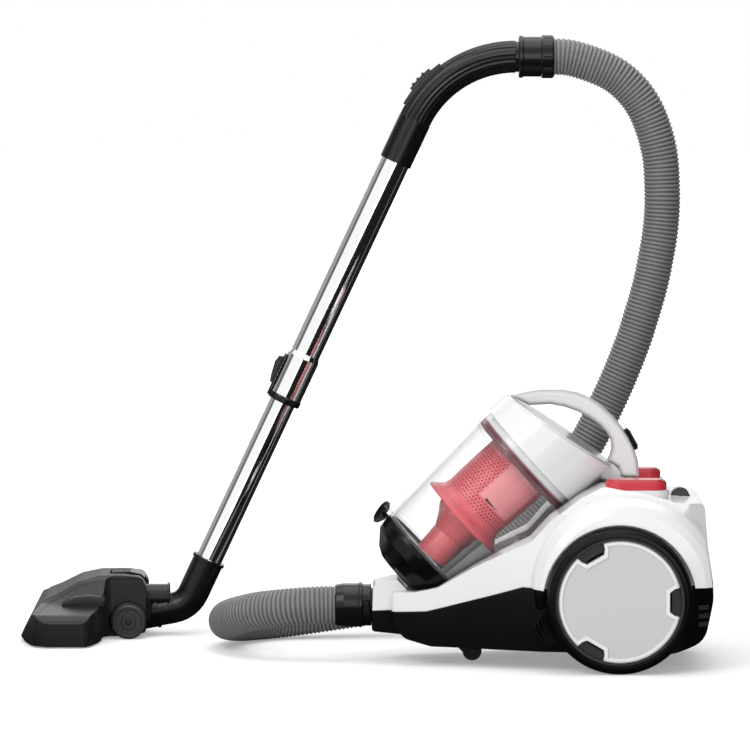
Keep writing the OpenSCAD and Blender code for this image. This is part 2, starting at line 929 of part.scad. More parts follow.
// Clear wall of the dust cup, with its inlet, hinge lugs and latch loop
module cup_wall() {
    color([0.8, 0.85, 0.88, 0.35])
        cup_frame()
            difference() {
                union() {
                    rotate_extrude($fn = 96)
                        polygon([[cup_r_low - cup_t, 0.2], [cup_r_low + 1.2, 0.2], [cup_r_low + 1.2, 3.5],
                            [cup_r_low + 0.3, 4.5], [cup_r_high, cup_h - 6], [flange_r, cup_h - 1.5], [flange_r, flange_top],
                            [flange_r - 2.4, flange_top], [flange_r - 2.4, cup_h], [cup_r_high - cup_t, cup_h - 5],
                            [cup_r_low + 0.3 - cup_t, 4.5]]);
                    difference() {
                        translate([50, -29, 95])
                            cube([25, 58, 47]);
                        rotate_extrude($fn = 96)
                            polygon([[0, 80], [cup_r_low + 5, 80], [cup_r_high - 3, cup_h + 2], [0, cup_h + 2]]);
                    }
                    for (s = [-1, 1]) {
                        translate([cup_r_low - 1, s * 12 - 2.5, -1])
                            cube([4, 5, 10]);
                        translate([cup_r_low + 4.5, s * 12 + 2.5, -1.5])
                            rotate([90, 0, 0])
                                cylinder(r = 4.5, h = 5);
                    }
                    for (s = [-1, 1])
                        translate([-cup_r_low - 14, s * 10 - 1.5, 2])
                            cube([16, 3, 26]);
                    translate([-cup_r_low - 14, -11.5, 24])
                        cube([3, 23, 4]);
                }
                translate([cup_r_low + 4.5, 0, -1.5])
                    rotate([90, 0, 0])
                        cylinder(r = 2 + run, h = 40, center = true);
                translate([30, -20, 101])
                    cube([60, 40, 34]);
                translate([-cup_r_low - 8.5, 0, 6])
                    rotate([90, 0, 0])
                        cylinder(r = 2 + run, h = 30, center = true);
            }
}

// White lid, a drum cut off by a slanting plane
module lid_drum(r, drop, low) {
    difference() {
        translate([0, 0, low])
            cylinder(r = r, h = 250 - low, $fn = 96);
        translate([0, 0, lid_z - drop])
            rotate([0, -lid_slope, 0])
                translate([-150, -150, 0])
                    cube([300, 300, 150]);
    }
}

module cup_lid() {
    color([0.93, 0.93, 0.93])
        cup_frame()
            difference() {
                union() {
                    lid_drum(lid_r, 2.5, flange_top + gap);
                    lid_drum(lid_r - 3, 0, flange_top + gap);
                    translate([0, 0, cup_h + 7])
                        ring(flange_r - 2.8, flange_r - 6, 12);
                }
                lid_drum(lid_r - 5.5, 5.5, flange_top + 3);
                translate([0, 0, cup_h + 5])
                    cylinder(r = 30, h = 20);
                translate([40, -17, 180])
                    cube([50, 34, 24]);
            }
}

// Carrying handle arched over the lid, with a foot that latches on the deck
handle_line = [[172.5, 306.5], [186, 310.5], [204.5, 313.5], [231, 313.5], [248, 310.5], [264, 304], [277.5, 294.5],
    [289, 283.3], [299, 271.5], [307.6, 258.5], [314, 245.5], [318.2, 232.2], [319.8, 214.5], [316, 212.5],
    [299, 212.5], [295.5, 224.4], [283.5, 232.5], [286.5, 239], [288.2, 246], [286.6, 256.6], [281, 265.5], [273, 273.5],
    [262, 281.5], [249, 288.6], [234, 294], [218, 297], [193, 296]];

module cup_handle() {
    lines = [for (i = [len(handle_line) - 1:-1:0]) handle_line[i]];
    color([0.93, 0.93, 0.93])
        difference() {
            union() {
                for (step = [[0, 17], [0.7, 20.5], [1.7, 23.5], [3.2, 26]])
                    side_prism(inset(lines, step[0]), yc, step[1]);
            }
            leaning([309.5, 255.8], yc, 61)
                translate([0, 0, -4.5])
                    cube([26.6, 14.6, 20], center = true);
            leaning([309.5, 255.8], yc, 61)
                translate([-14, -8, -2.2])
                    cube([28, 16, 20]);
            cup_frame()
                lid_drum(lid_r + gap, -gap, 100);
        }
}

module release_button() {
    color([0.05, 0.05, 0.055])
        leaning([309.5, 255.8], yc, 61)
            union() {
                translate([-13, -7, -10.4])
                    cube([26, 14, 14]);
                translate([-10.5, -5.5, 3.6])
                    cube([21, 11, 1.2]);
            }
}

// Red gasket ring between the clear wall and the lid
module seal_ring() {
    color([0.75, 0.12, 0.2])
        cup_frame()
            difference() {
                translate([0, 0, cup_h + 0.4])
                    cylinder(r = flange_r - 2.7, h = 6.3, $fn = 96);
                translate([0, 0, cup_h - 1])
                    cylinder(r = 33, h = 9);
                translate([0, 0, cup_h - 0.2])
                    ring(60, 44, 3);
            }
}

// Perforated upper filter with its flared skirt
module filter_shroud() {
    color([0.8, 0.3, 0.35, 0.8])
        cup_frame()
            difference() {
                rotate_extrude($fn = 72)
                    polygon([[43, cup_h + 0.1], [40, cup_h - 1], [38.5, 74], [40.5, 70], [52.5, 58.5], [54, 58.5],
                        [54, 60.5], [43, 72], [41.2, 76], [43, cup_h - 3], [46, cup_h - 2], [46, cup_h + 0.1]]);
                for (j = [0:4])
                    for (i = [0:hole_count - 1])
                        rotate([0, 0, (i + 0.5 * (j % 2)) * 360 / hole_count])
                            translate([30, 0, 86 + 12 * j])
                                rotate([0, 90, 0])
                                    cylinder(r = hole_d / 2, h = 30, $fn = 6);
            }
}

// Cone and dust tube below the skirt, leaning towards the low side of the cup
module cone_form(d) {
    translate([11, 0, 4])
        rotate([0, -8, 0])
            rotate_extrude($fn = 72)
                polygon([[0, -2 * d], [21.5 - d, -2 * d], [21.5 - d, 30.5], [26 - d, 40.5], [34 - d, 53.5],
                    [38 - d, 64], [0, 64]]);
}

module cyclone_cone() {
    color([0.8, 0.3, 0.35, 0.8])
        cup_frame()
            difference() {
                union() {
                    difference() {
                        cone_form(0);
                        translate([0, 0, 61])
                            cylinder(r = 90, h = 40);
                    }
                    translate([0, 0, 58.5])
                        cylinder(r = 38.1, h = 2.5);
                    translate([0, 0, 58.5])
                        ring(38.1, 36.3, 24);
                }
                cone_form(2);
            }
}

module cup_door() {
    color([0.05, 0.05, 0.055])
        cup_frame()
            difference() {
                union() {
                    difference() {
                        rotate_extrude($fn = 96)
                            polygon([[0, -38], [30, -38], [40, -33], [55, -18], [cup_r_low + 1, -5], [cup_r_low + 1, -0.1],
                                [0, -0.1]]);
                        rotate_extrude()
                            polygon([[0, -35.5], [29, -35.5], [38, -31], [51, -17], [51, -3], [0, -3]]);
                    }
                    translate([cup_r_low + 4.5, 8.5, -1.5])
                        rotate([90, 0, 0])
                            cylinder(r = 3.6, h = 17);
                    translate([cup_r_low - 4, -8.5, -6])
                        cube([8, 17, 5.5]);
                    translate([-cup_r_low - 5.5, -6, -5.5])
                        cube([8, 12, 4]);
                }
                translate([cup_r_low + 4.5, 0, -1.5])
                    rotate([90, 0, 0])
                        cylinder(r = 2 + run, h = 40, center = true);
                for (s = [-1, 1])
                    translate([cup_r_low - 2.2, s * 12.1 - 3.6, -6.2])
                        cube([14, 7.2, 12]);
            }
}

module door_seal() {
    color([0.1, 0.1, 0.1])
        cup_frame()
            translate([0, 0, 0.1])
                ring(cup_r_low - cup_t - 0.6, cup_r_low - cup_t - 4, 2.4);
}

module door_pin() {
    color([0.7, 0.7, 0.72])
        cup_frame()
            translate([cup_r_low + 4.5, 0, -1.5])
                rotate([90, 0, 0])
                    cylinder(r = 2, h = 29, center = true);
}

// Lever that hooks under the edge of the door
module door_latch() {
    color([0.05, 0.05, 0.055])
        cup_frame()
            translate([-cup_r_low, 0, 0])
                union() {
                    side = [[-13, 20], [-10.5, 22], [-6.5, 20], [-5.5, 8], [-5.5, 2], [-6.2, -4.6], [-5.9, -6], [-1.3, -6],
                        [-1.6, -9], [-4, -16], [-8, -19], [-11.5, -16], [-12.5, -6], [-12.2, 8]];
                    translate([0, 7, 0])
                        rotate([90, 0, 0])
                            linear_extrude(14)
                                polygon([for (i = [len(side) - 1:-1:0]) side[i]]);
                    translate([-8.5, 0, 6])
                        rotate([90, 0, 0])
                            cylinder(r = 2, h = 22.6, center = true);
                }
}

// Ribbed curved grip with smooth ends
module handle_grip() {
    ribs = [for (i = [0:2 * rib_count - 1]) let (r = i % 2 == 0 ? 19.1 : 18.3, a = (i + 0.5) * 180 / rib_count)
            [bend_r + r * cos(a), r * sin(a)]];
    color([0.07, 0.07, 0.075])
        difference() {
            union() {
                translate([bend_x, yw, cuff_z - bend_r])
                    rotate([90, 0, 0])
                        rotate_extrude(angle = tube_a, start = 90, $fn = 72)
                            polygon(ribs);
                translate([bend_x - 1, yw, cuff_z])
                    rotate([0, 90, 0])
                        cylinder(r = 18, h = 34);
                tube_frame()
                    translate([0, 0, -grip_end - 1])
                        cylinder(r = upper_r + 2, h = grip_end + 1);
                translate([bend_x, yw, cuff_z - bend_r])
                    rotate([90, 0, 0])
                        rotate_extrude(angle = 24, start = 126, $fn = 72)
                            translate([bend_r + 16.5, -8])
                                square([5, 16]);
            }
            translate([bend_x, yw, cuff_z - bend_r])
                rotate([90, 0, 0])
                    rotate_extrude(angle = tube_a + 0.6, start = 89.7, $fn = 72)
                        translate([bend_r, 0])
                            circle(15);
            translate([bend_x - 3, yw, cuff_z])
                rotate([0, 90, 0])
                    cylinder(r = 14.6, h = 40);
            tube_frame() {
                translate([0, 0, -grip_end - 4])
                    cylinder(r = 14.6, h = grip_end + 16);
                translate([0, 0, -42])
                    cylinder(r = upper_r + 0.05, h = 50);
            }
        }
}

// Slider on the back of the grip that opens a vent to lower the suction
module vent_slider() {
    color([0.03, 0.03, 0.035])
        translate([bend_x, yw, cuff_z - bend_r])
            rotate([90, 0, 0])
                union() {
                    rotate_extrude(angle = 12, start = 131, $fn = 72)
                        polygon([[bend_r + 21.8, -6], [bend_r + 24.6, -6], [bend_r + 24.6, 6], [bend_r + 21.8, 6]]);
                    rotate_extrude(angle = 1.2, start = 134, $fn = 72)
                        translate([bend_r + 24, -5])
                            square([2.2, 10]);
                    rotate_extrude(angle = 1.2, start = 137, $fn = 72)
                        translate([bend_r + 24, -5])
                            square([2.2, 10]);
                    rotate_extrude(angle = 1.2, start = 140, $fn = 72)
                        translate([bend_r + 24, -5])
                            square([2.2, 10]);
                }
}

// Chromed upper tube, widened at its lower end into a guide sleeve
module upper_tube() {
    color([0.8, 0.8, 0.82])
        tube_frame()
            rotate_extrude($fn = 64)
                polygon([[upper_r - 1, -40], [upper_r, -40], [upper_r, 252], [upper_r + 2, 258], [upper_r + 2, 308],
                    [upper_r - 1, 308]]);
}

// Black ring that ends the upper tube, with the plate of the lock
module lock_ring() {
    color([0.05, 0.05, 0.055])
        tube_frame()
            difference() {
                union() {
                    rotate_extrude($fn = 64)
                        polygon([[lower_r + run, 298], [upper_r - 1.1, 298], [upper_r - 1.1, 308.2], [upper_r + 2.6, 308.2],
                            [upper_r + 3, 310], [upper_r + 3, ring_at - 1.5], [upper_r + 2, ring_at], [lower_r + run, ring_at]]);
                    translate([upper_r + 2.2, -7, 262])
                        cube([2.2, 14, 52]);
                    translate([upper_r - 0.5, -7, 309])
                        cube([4, 14, 5]);
                }
                translate([0, 0, 290])
                    cylinder(r = lower_r + run, h = 40);
            }
}

module lock_button() {
    color([0.03, 0.03, 0.035])
        tube_frame()
            difference() {
                translate([upper_r + 4.6, 0, 0])
                    side_prism([[0, 266], [5, 267.5], [7, 276], [4.6, 292], [2.4, 300], [0, 300]], 0, 13);
                for (i = [0:3])
                    translate([upper_r + 10.2, -5, 279 + 3.4 * i])
                        cube([4, 10, 1.4]);
            }
}

module lower_tube() {
    color([0.8, 0.8, 0.82])
        tube_frame()
            difference() {
                ring_tube(lower_r, lower_r - 1, lower_from, rim_at + 26);
                for (i = [0:dimple_count - 1])
                    translate([lower_r + 0.6, 0, 336 + 22 * i])
                        rotate([90, 0, 0])
                            cylinder(r = 1.2, h = 8, center = true, $fn = 16);
            }
}

module ring_tube(r_out, r_in, from, to) {
    translate([0, 0, from])
        ring(r_out, r_in, to - from);
}

// Elbow from the wand down to the swivel of the floor head
module elbow() {
    tan_len = elbow_bend * tan(turn / 2);
    bend_from = corner_at - tan_len;
    color([0.06, 0.06, 0.065])
        tube_frame()
            difference() {
                union() {
                    translate([0, 0, rim_at])
                        cylinder(r = elbow_r, h = bend_from - rim_at + 0.5);
                    translate([0, 0, rim_at])
                        cylinder(r = elbow_r + 1.6, h = 3.5);
                    elbow_arc(elbow_r - 0.2, 0);
                    elbow_leg() {
                        translate([0, 0, -0.5])
                            cylinder(r = elbow_r, h = 20);
                        translate([0, 0, 10])
                            cylinder(r = 17, h = 28);
                        translate([0, 0, 18.5])
                            cylinder(r = elbow_r + 2, h = 3.2);
                    }
                }
                translate([0, 0, rim_at - 5])
                    cylinder(r = lower_r + 0.05, h = 32);
                translate([0, 0, rim_at - 5])
                    cylinder(r = 13.5, h = bend_from - rim_at + 5.5);
                elbow_arc(13.8, 0.6);
                elbow_leg()
                    translate([0, 0, -1])
                        cylinder(r = 13.5, h = 45);
            }
}

module elbow_arc(r, more) {
    bend_from = corner_at - elbow_bend * tan(turn / 2);
    translate([elbow_bend, 0, bend_from])
        rotate([90, 0, 0])
            rotate_extrude(angle = turn + 2 * more, start = 180 - turn - more, $fn = 64)
                translate([elbow_bend, 0])
                    circle(r);
}

// Frame at the lower end of the elbow's bend, local Z along its leg
module elbow_leg() {
    tan_len = elbow_bend * tan(turn / 2);
    translate([tan_len * sin(turn), 0, corner_at + tan_len * cos(turn)])
        rotate([0, turn, 0])
            children();
}

module leg_frame() {
    tube_frame()
        elbow_leg()
            children();
}

// Neck that the elbow turns in, carried on two trunnions in the floor head
module neck() {
    color([0.07, 0.07, 0.075])
        difference() {
            union() {
                leg_frame()
                    translate([0, 0, 22])
                        cylinder(r = 19.2, h = 24);
                leaning(collar_axis, yw, -90) {
                    cylinder(r = 16.5, h = 36);
                    cylinder(r = 18, h = 2.5);
                }
                for (size = [[22, 52], [6, 68]])
                    translate([pivot_x, yw, pivot_z])
                        rotate([90, 0, 0])
                            cylinder(r = size[0], h = size[1], center = true);
            }
            leg_frame() {
                translate([0, 0, -8])
                    cylinder(r = elbow_r + 0.6, h = 28);
                translate([0, 0, 18.2])
                    cylinder(r = elbow_r + 2.4, h = 3.8);
                translate([0, 0, 10])
                    cylinder(r = 17 + run, h = 28.4);
                translate([0, 0, 30])
                    cylinder(r = 13, h = 70);
            }
            translate([pivot_x - 30, yw - 15, pivot_z - 14])
                cube([22, 30, 22]);
        }
}

head_line = [[-397, 2, 0], [-307, 2, 0], [-257, 6, 4], [-256, 62, 6], [-262, 73, 8], [-284, 75.5, 20],
    [-312, 75, 20], [-336, 69, 20], [-360, 56, 20], [-376, 49, 10], [-389, 37, 10], [-398.5, 18, 6], [-404, 6, 0]];
brush_l = head_w - 40;
head_half = [[-404, 60, 30], [-384, head_w / 2, 24], [-320, head_w / 2, 14], [-311, 96, 10], [-303, 38, 10], [-250, 38, 0]];
head_front = [[-140, 0, 0], [140, 0, 0], [head_w / 2, 29, 5], [head_w / 2 - 8, 38, 8], [66, 47, 20], [46, 70, 14],
    [35, 76, 10], [-35, 76, 10], [-46, 70, 14], [-66, 47, 20], [8 - head_w / 2, 38, 8], [-head_w / 2, 29, 5]];

// Outer form of the floor head, moved inwards by a distance
module head_form(d) {
    intersection() {
        side_prism(inset(rounded(head_line), d), yw, 300);
        translate([0, yw, -5])
            linear_extrude(100)
                polygon(inset(rounded(both_sides(head_half)), d));
        translate([-420, yw, 0])
            rotate([90, 0, 90])
                linear_extrude(200)
                    polygon(inset(rounded(head_front), d));
    }
}

module neck_pocket(r) {
    translate([pivot_x, yw, pivot_z])
        rotate([90, 0, 0])
            cylinder(r = r, h = 54, center = true);
    translate([pivot_x, yw - 27, pivot_z - r])
        cube([60, 54, 2 * r]);
}

module head_cover() {
    color([0.13, 0.13, 0.135])
        difference() {
            union() {
                difference() {
                    head_form(0);
                    difference() {
                        head_form(2.6);
                        neck_pocket(33);
                        translate([-310, yw - 40, 0])
                            cube([60, 13, 80]);
                        translate([-310, yw + 27, 0])
                            cube([60, 13, 80]);
                    }
                }
                for (s = [-1, 1])
                    translate([head_wheel_x, yw + s * 38, head_wheel_d / 2])
                        rotate([-90 * s, 0, 0])
                            cylinder(r = 4, h = 12.5);
            }
            neck_pocket(29.5);
            translate([pivot_x, yw, pivot_z])
                rotate([90, 0, 0])
                    cylinder(r = 6 + run, h = 70, center = true);
            translate([-420, yw - 150, -1])
                cube([200, 300, 7.3]);
            translate([-384, yw - brush_l / 2 - 6, 0])
                cube([64, brush_l + 12, 20]);
            translate([-300.5, yw - 19, 58])
                cube([45, 38, 30]);
            translate([-320, yw - 25, 0])
                cube([30, 50, 44]);
            translate([pedal_pin[0], yw, pedal_pin[1]])
                rotate([90, 0, 0])
                    cylinder(r = 2 + run, h = 62, center = true);
            bumper_form(0);
        }
}

// Band round the front and the sides of the floor head
module bumper_form(d) {
    difference() {
        intersection() {
            head_form(0);
            translate([-420, yw - 150, 1])
                cube([112, 300, 13]);
        }
        head_form(1.5 - d);
    }
}

module head_bumper() {
    color([0.09, 0.09, 0.095])
        intersection() {
            translate([-420, yw - 150, 1])
                cube([111.8, 300, 12.8]);
            difference() {
                head_form(0);
                head_form(1.2);
                translate([0, yw, -5])
                    linear_extrude(14)
                        polygon(inset(rounded(both_sides(head_half)), 2.7));
            }
        }
}

// Sole plate with the suction mouth, the brush slots and the air channel
module head_sole() {
    sole = inset(rounded(both_sides(head_half)), 3);
    color([0.1, 0.1, 0.105])
        difference() {
            union() {
                translate([0, yw, 2])
                    linear_extrude(4)
                        polygon(sole);
                translate([-372, yw - head_w / 2 + 12, 0])
                    cube([50, head_w - 24, 4]);
            }
            translate([-354, yw - brush_l / 2, -1])
                cube([16, brush_l, 10]);
            for (x = [-370.4, -331.4])
                translate([x, yw - brush_l / 2 - 0.4, -1])
                    cube([8.8, brush_l + 0.8, 12]);
            for (s = [-1, 1])
                translate([-370.4, yw + s * (brush_l / 2 - 5) - 4.4, 3.5])
                    cube([47.8, 8.8, 10]);
            translate([pivot_x - 16, yw - 60, -5])
                cube([60, 120, 20]);
        }
}

// Two rows of bristles on one frame that the pedal lowers
module brush_frame() {
    color([0.2, 0.2, 0.2])
        union() {
            for (x = [-370, -331]) {
                translate([x, yw - brush_l / 2, 6.6])
                    cube([8, brush_l, 3]);
                for (i = [0:tuft_count - 1])
                    translate([x + 1, yw - brush_l / 2 + 1 + i * (brush_l - 2) / tuft_count, 0.6])
                        cube([6, (brush_l - 2) / tuft_count - 2.4, 6.2]);
            }
            for (y = [1 - brush_l / 2, brush_l / 2 - 9])
                translate([-370, yw + y, 7.6])
                    cube([47, 8, 2]);
        }
}

// Foot pedal that rocks on the top of the head
module pedal() {
    side = [[-300, 63], [-290, 61.5], [-282, 61.5], [-275, 69], [-259.5, 69.5], [-258.4, 70.5], [-263, 74.6],
        [-276, 77.4], [-298, 76.6]];
    color([0.02, 0.02, 0.022])
        difference() {
            union() {
                side_prism(side, yw, 37);
                translate([pedal_pin[0], yw, pedal_pin[1]])
                    rotate([90, 0, 0])
                        cylinder(r = 2, h = 58, center = true);
            }
            translate([-280, yw - 15.5, 60])
                cube([17, 31, 11.5]);
        }
}

module head_wheel(side) {
    translate([head_wheel_x, yw + side * 39, head_wheel_d / 2])
        rotate([-90 * side, 0, 0])
            rotate_extrude()
                polygon([[4 + run, 0], [head_wheel_d / 2 - 1, 0], [head_wheel_d / 2, 1.5], [head_wheel_d / 2, 8],
                    [head_wheel_d / 2 - 2, 10], [head_wheel_d / 2 - 4, 10], [head_wheel_d / 2 - 5, 8.6], [9, 8.6],
                    [8, 10.5], [4 + run, 10.5]]);
}

module head_wheel_left() {
    color([0.1, 0.1, 0.105])
        head_wheel(-1);
}

module head_wheel_right() {
    color([0.1, 0.1, 0.105])
        head_wheel(1);
}

lower_housing();
upper_housing();
inlet_duct();
duct_seal();
exhaust_grille();
exhaust_filter();
motor_case();
impeller();
cord_reel();
reel_axle();
cord_outlet();
pre_motor_filter();
control_board();
housing_screws();
axle_left();
axle_right();
tyre_left();
rim_left();
cap_left();
tyre_right();
rim_right();
cap_right();
caster_fork();
caster_wheel();
caster_pin();
power_button();
rewind_button();
power_dial();
hose_collar();
clip_left();
clip_right();
hose();
hose_cuff();
cup_wall();
cup_lid();
cup_handle();
release_button();
seal_ring();
filter_shroud();
cyclone_cone();
cup_door();
door_seal();
door_pin();
door_latch();
handle_grip();
vent_slider();
upper_tube();
lock_ring();
lock_button();
lower_tube();
elbow();
neck();
head_cover();
head_sole();
head_bumper();
pedal();
brush_frame();
head_wheel_left();
head_wheel_right();
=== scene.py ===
import math

import bpy
import numpy as np
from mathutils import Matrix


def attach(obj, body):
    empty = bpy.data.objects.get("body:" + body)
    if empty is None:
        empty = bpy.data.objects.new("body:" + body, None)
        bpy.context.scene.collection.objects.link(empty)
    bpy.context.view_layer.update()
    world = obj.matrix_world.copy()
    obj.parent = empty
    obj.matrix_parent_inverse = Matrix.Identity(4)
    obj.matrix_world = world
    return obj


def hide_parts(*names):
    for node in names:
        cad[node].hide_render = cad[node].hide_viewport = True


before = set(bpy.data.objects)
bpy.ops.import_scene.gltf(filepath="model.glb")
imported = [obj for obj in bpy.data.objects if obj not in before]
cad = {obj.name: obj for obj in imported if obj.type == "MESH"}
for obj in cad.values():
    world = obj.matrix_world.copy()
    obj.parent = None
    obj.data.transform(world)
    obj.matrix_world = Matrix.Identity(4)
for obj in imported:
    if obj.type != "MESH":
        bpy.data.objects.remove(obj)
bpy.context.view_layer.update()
home = bpy.context.scene

# ---------------------------------------------------------------------------
# Camera: a long lens six metres off, square to the canister's side and a
# little above the level of the cup, so that the tubes hardly taper.
# ---------------------------------------------------------------------------
CANISTER_Y = -0.112
CAMERA_AWAY = 6.0
CAMERA_LIFT = math.radians(4.8)
AIM_X, AIM_Z = 0.016, 0.330

lens = bpy.data.cameras.new("camera")
lens.lens, lens.sensor_width = 250.56, 36.0
lens.clip_start, lens.clip_end = 0.5, 30.0
camera = bpy.data.objects.new("camera", lens)
home.collection.objects.link(camera)
home.camera = camera
camera.location = (AIM_X, CANISTER_Y - CAMERA_AWAY * math.cos(CAMERA_LIFT),
                   AIM_Z + CAMERA_AWAY * math.sin(CAMERA_LIFT))
camera.rotation_euler = (math.pi / 2 - CAMERA_LIFT, 0.0, 0.0)


# ---------------------------------------------------------------------------
# Studio: square soft boxes overhead, in front and behind, cards that only
# mirrors see, a white room, and a white floor that keeps the shadow.
# ---------------------------------------------------------------------------
class Sock:
    """One output or number in a material; arithmetic on it adds Math nodes."""

    def __init__(self, tree, out):
        self.tree, self.out = tree, out

    def _math(self, op, a, b=None, clamp=False):
        n = self.tree.nodes.new("ShaderNodeMath")
        n.operation, n.use_clamp = op, clamp
        for i, v in enumerate((a, b)):
            if isinstance(v, Sock):
                self.tree.links.new(v.out, n.inputs[i])
            elif v is not None:
                n.inputs[i].default_value = v
        return Sock(self.tree, n.outputs[0])

    def __add__(self, o):
        return self._math("ADD", self, o)

    __radd__ = __add__

    def __mul__(self, o):
        return self._math("MULTIPLY", self, o)

    __rmul__ = __mul__

    def __sub__(self, o):
        return self._math("SUBTRACT", self, o)

    def __rsub__(self, o):
        return self._math("SUBTRACT", o, self)

    def __pow__(self, o):
        return self._math("POWER", self, o)

    def op(self, name, other=None):
        """Any other operation of the Math node."""
        return self._math(name, self, other)

    def ramp(self, low, high):
        """0 at one value and 1 at the other, straight between and flat beyond."""
        return self._math("DIVIDE", self - low, high - low, clamp=True)

    def near(self, middle, outer, inner):
        """1 within inner of a middle value, fading to 0 at outer."""
        return (self - middle).op("ABSOLUTE").ramp(outer, inner)


class Finish:
    """A named material: node() adds any node, set() fills the shader's sockets."""

    def __init__(self, name, **sockets):
        self.mat = bpy.data.materials.new(name)
        self.mat.use_nodes = True
        self.tree = self.mat.node_tree
        self.shader = self.tree.nodes["Principled BSDF"]
        self.set(**sockets)

    def fill(self, socket, value):
        """Links a value or writes a number; a colour gets its fourth part."""
        if isinstance(value, Sock):
            self.tree.links.new(value.out, socket)
        elif socket.type == "RGBA":
            socket.default_value = (*value, 1.0)
        else:
            socket.default_value = value

    def node(self, kind, settings=None, inputs=None, out=0):
        n = self.tree.nodes.new(kind)
        for key, value in (settings or {}).items():
            setattr(n, key, value)
        for key, value in (inputs or {}).items():
            self.fill(n.inputs[key], value)
        return Sock(self.tree, n.outputs[out])

    def set(self, **sockets):
        for key, value in sockets.items():
            self.fill(self.shader.inputs[key.replace("_", " ")], value)
        return self

    def place(self):
        """Object coordinates of the shaded point."""
        return self.node("ShaderNodeTexCoord", out="Object")

    def vector(self, operation, a, b, out=0):
        return self.node("ShaderNodeVectorMath", {"operation": operation}, {0: a, 1: b}, out)

    def along(self, start, axis):
        """Distance of a surface point from a start along one axis."""
        return self.vector("DOT_PRODUCT", self.vector("SUBTRACT", self.place(), start), axis, out="Value")

    def noise(self, scale, detail=3.0):
        inputs = {"Vector": self.place(), "Scale": scale, "Detail": detail, "Roughness": 0.55}
        return self.node("ShaderNodeTexNoise", inputs=inputs)

    def blend(self, mask, low, high):
        """A colour that goes from low to high as the mask goes from 0 to 1."""
        return self.node("ShaderNodeMix", {"data_type": "RGBA"}, {0: mask, 6: low, 7: high}, out=2)

    def bump(self, height, strength, distance):
        """Relief laid over the normal the shader has already, if it has one."""
        inputs = {"Height": height, "Strength": strength, "Distance": distance}
        for link in self.shader.inputs["Normal"].links:
            inputs["Normal"] = Sock(self.tree, link.from_socket)
        return self.node("ShaderNodeBump", inputs=inputs)


def soft_box(name, size, at, towards, power):
    """A square area lamp at a point, turned to face another point."""
    lamp = bpy.data.lights.new(name, "AREA")
    lamp.size, lamp.energy = size, power
    box = bpy.data.objects.new(name, lamp)
    home.collection.objects.link(box)
    box.location = at
    aim_x, aim_y, aim_z = np.subtract(towards, at)
    box.rotation_euler = (math.atan2(math.hypot(aim_x, aim_y), -aim_z), 0.0,
                          math.atan2(aim_y, aim_x) - math.pi / 2)


soft_box("key", size=1.7, at=(-1.5, -2.3, 2.4), towards=(0.05, -0.1, 0.2), power=40)
soft_box("top", size=2.4, at=(0.2, 0.1, 2.7), towards=(0.05, 0.0, 0.2), power=40)
soft_box("fill", size=1.6, at=(0.7, -2.9, 0.9), towards=(0.1, -0.1, 0.25), power=17)
soft_box("back", size=1.6, at=(-0.6, 2.4, 1.7), towards=(0.0, 0.0, 0.3), power=12)


def staged_quad(name, corners, finish):
    """One flat quad between four corners, staged and not part of the model."""
    mesh = bpy.data.meshes.new(name)
    mesh.from_pydata(corners, [], [(0, 1, 2, 3)])
    mesh.materials.append(finish.mat)
    panel = bpy.data.objects.new(name, mesh)
    home.collection.objects.link(panel)
    return panel


def card(name, corners, shade, shades=False):
    """Flat card that glossy rays alone see: a black flag or a grey panel that
    shapes what metal mirrors, and lights nothing. One that shades also keeps
    the room's light off the side it stands on."""
    paint = Finish(name, Base_Color=(0.0, 0.0, 0.0), Roughness=1.0, Specular_IOR_Level=0.0,
                   Emission_Color=(shade, shade, shade), Emission_Strength=1.0)
    panel = staged_quad(name, corners, paint)
    for ray in ("camera", "transmission", "shadow"):
        setattr(panel, "visible_" + ray, False)
    panel.visible_diffuse = shades


def lying(x_from, x_to, y_from, y_to, z):
    """Corners of a rectangle at one height."""
    return [(x_from, y_from, z), (x_to, y_from, z), (x_to, y_to, z), (x_from, y_to, z)]


def upright(start, end, low, high):
    """Corners of a rectangle that stands on the line between two points."""
    return [(*start, low), (*end, low), (*end, high), (*start, high)]


BLACK, DARK_GREY, MID_GREY = 0.012, 0.16, 0.38
OVER_FLOOR = 0.001
card("card_floor_right", lying(-0.1, 4, -6, 8, OVER_FLOOR), BLACK)
card("card_floor_head", lying(-0.7, -0.1, -0.95, 6, OVER_FLOOR), BLACK)
card("card_right", upright((1.4, -0.9), (1.7, 1.6), 0, 1.7), BLACK, shades=True)
card("card_left", upright((-3, -0.75), (-3, 0.7), -0.5, 3), DARK_GREY)
card("card_left_back", upright((-3, 0.7), (-0.3, 4), -0.5, 3), MID_GREY)

home.view_settings.view_transform = "Standard"
ROOM_LIGHT = 0.42
world = bpy.data.worlds.new("room")
home.world = world
world.use_nodes = True
room = world.node_tree
room_paths = room.nodes.new("ShaderNodeLightPath")
room_seen = Sock(room, room_paths.outputs["Is Camera Ray"])
for ray in ("Is Transmission Ray", "Is Glossy Ray"):
    room_seen = room_seen.op("MAXIMUM", Sock(room, room_paths.outputs[ray]))
room_level = room_seen * (1.0 - ROOM_LIGHT) + ROOM_LIGHT
room.links.new(room_level.out, room.nodes["Background"].inputs["Strength"])
room.nodes["Background"].inputs["Color"].default_value = (1.0, 1.0, 1.0, 1.0)

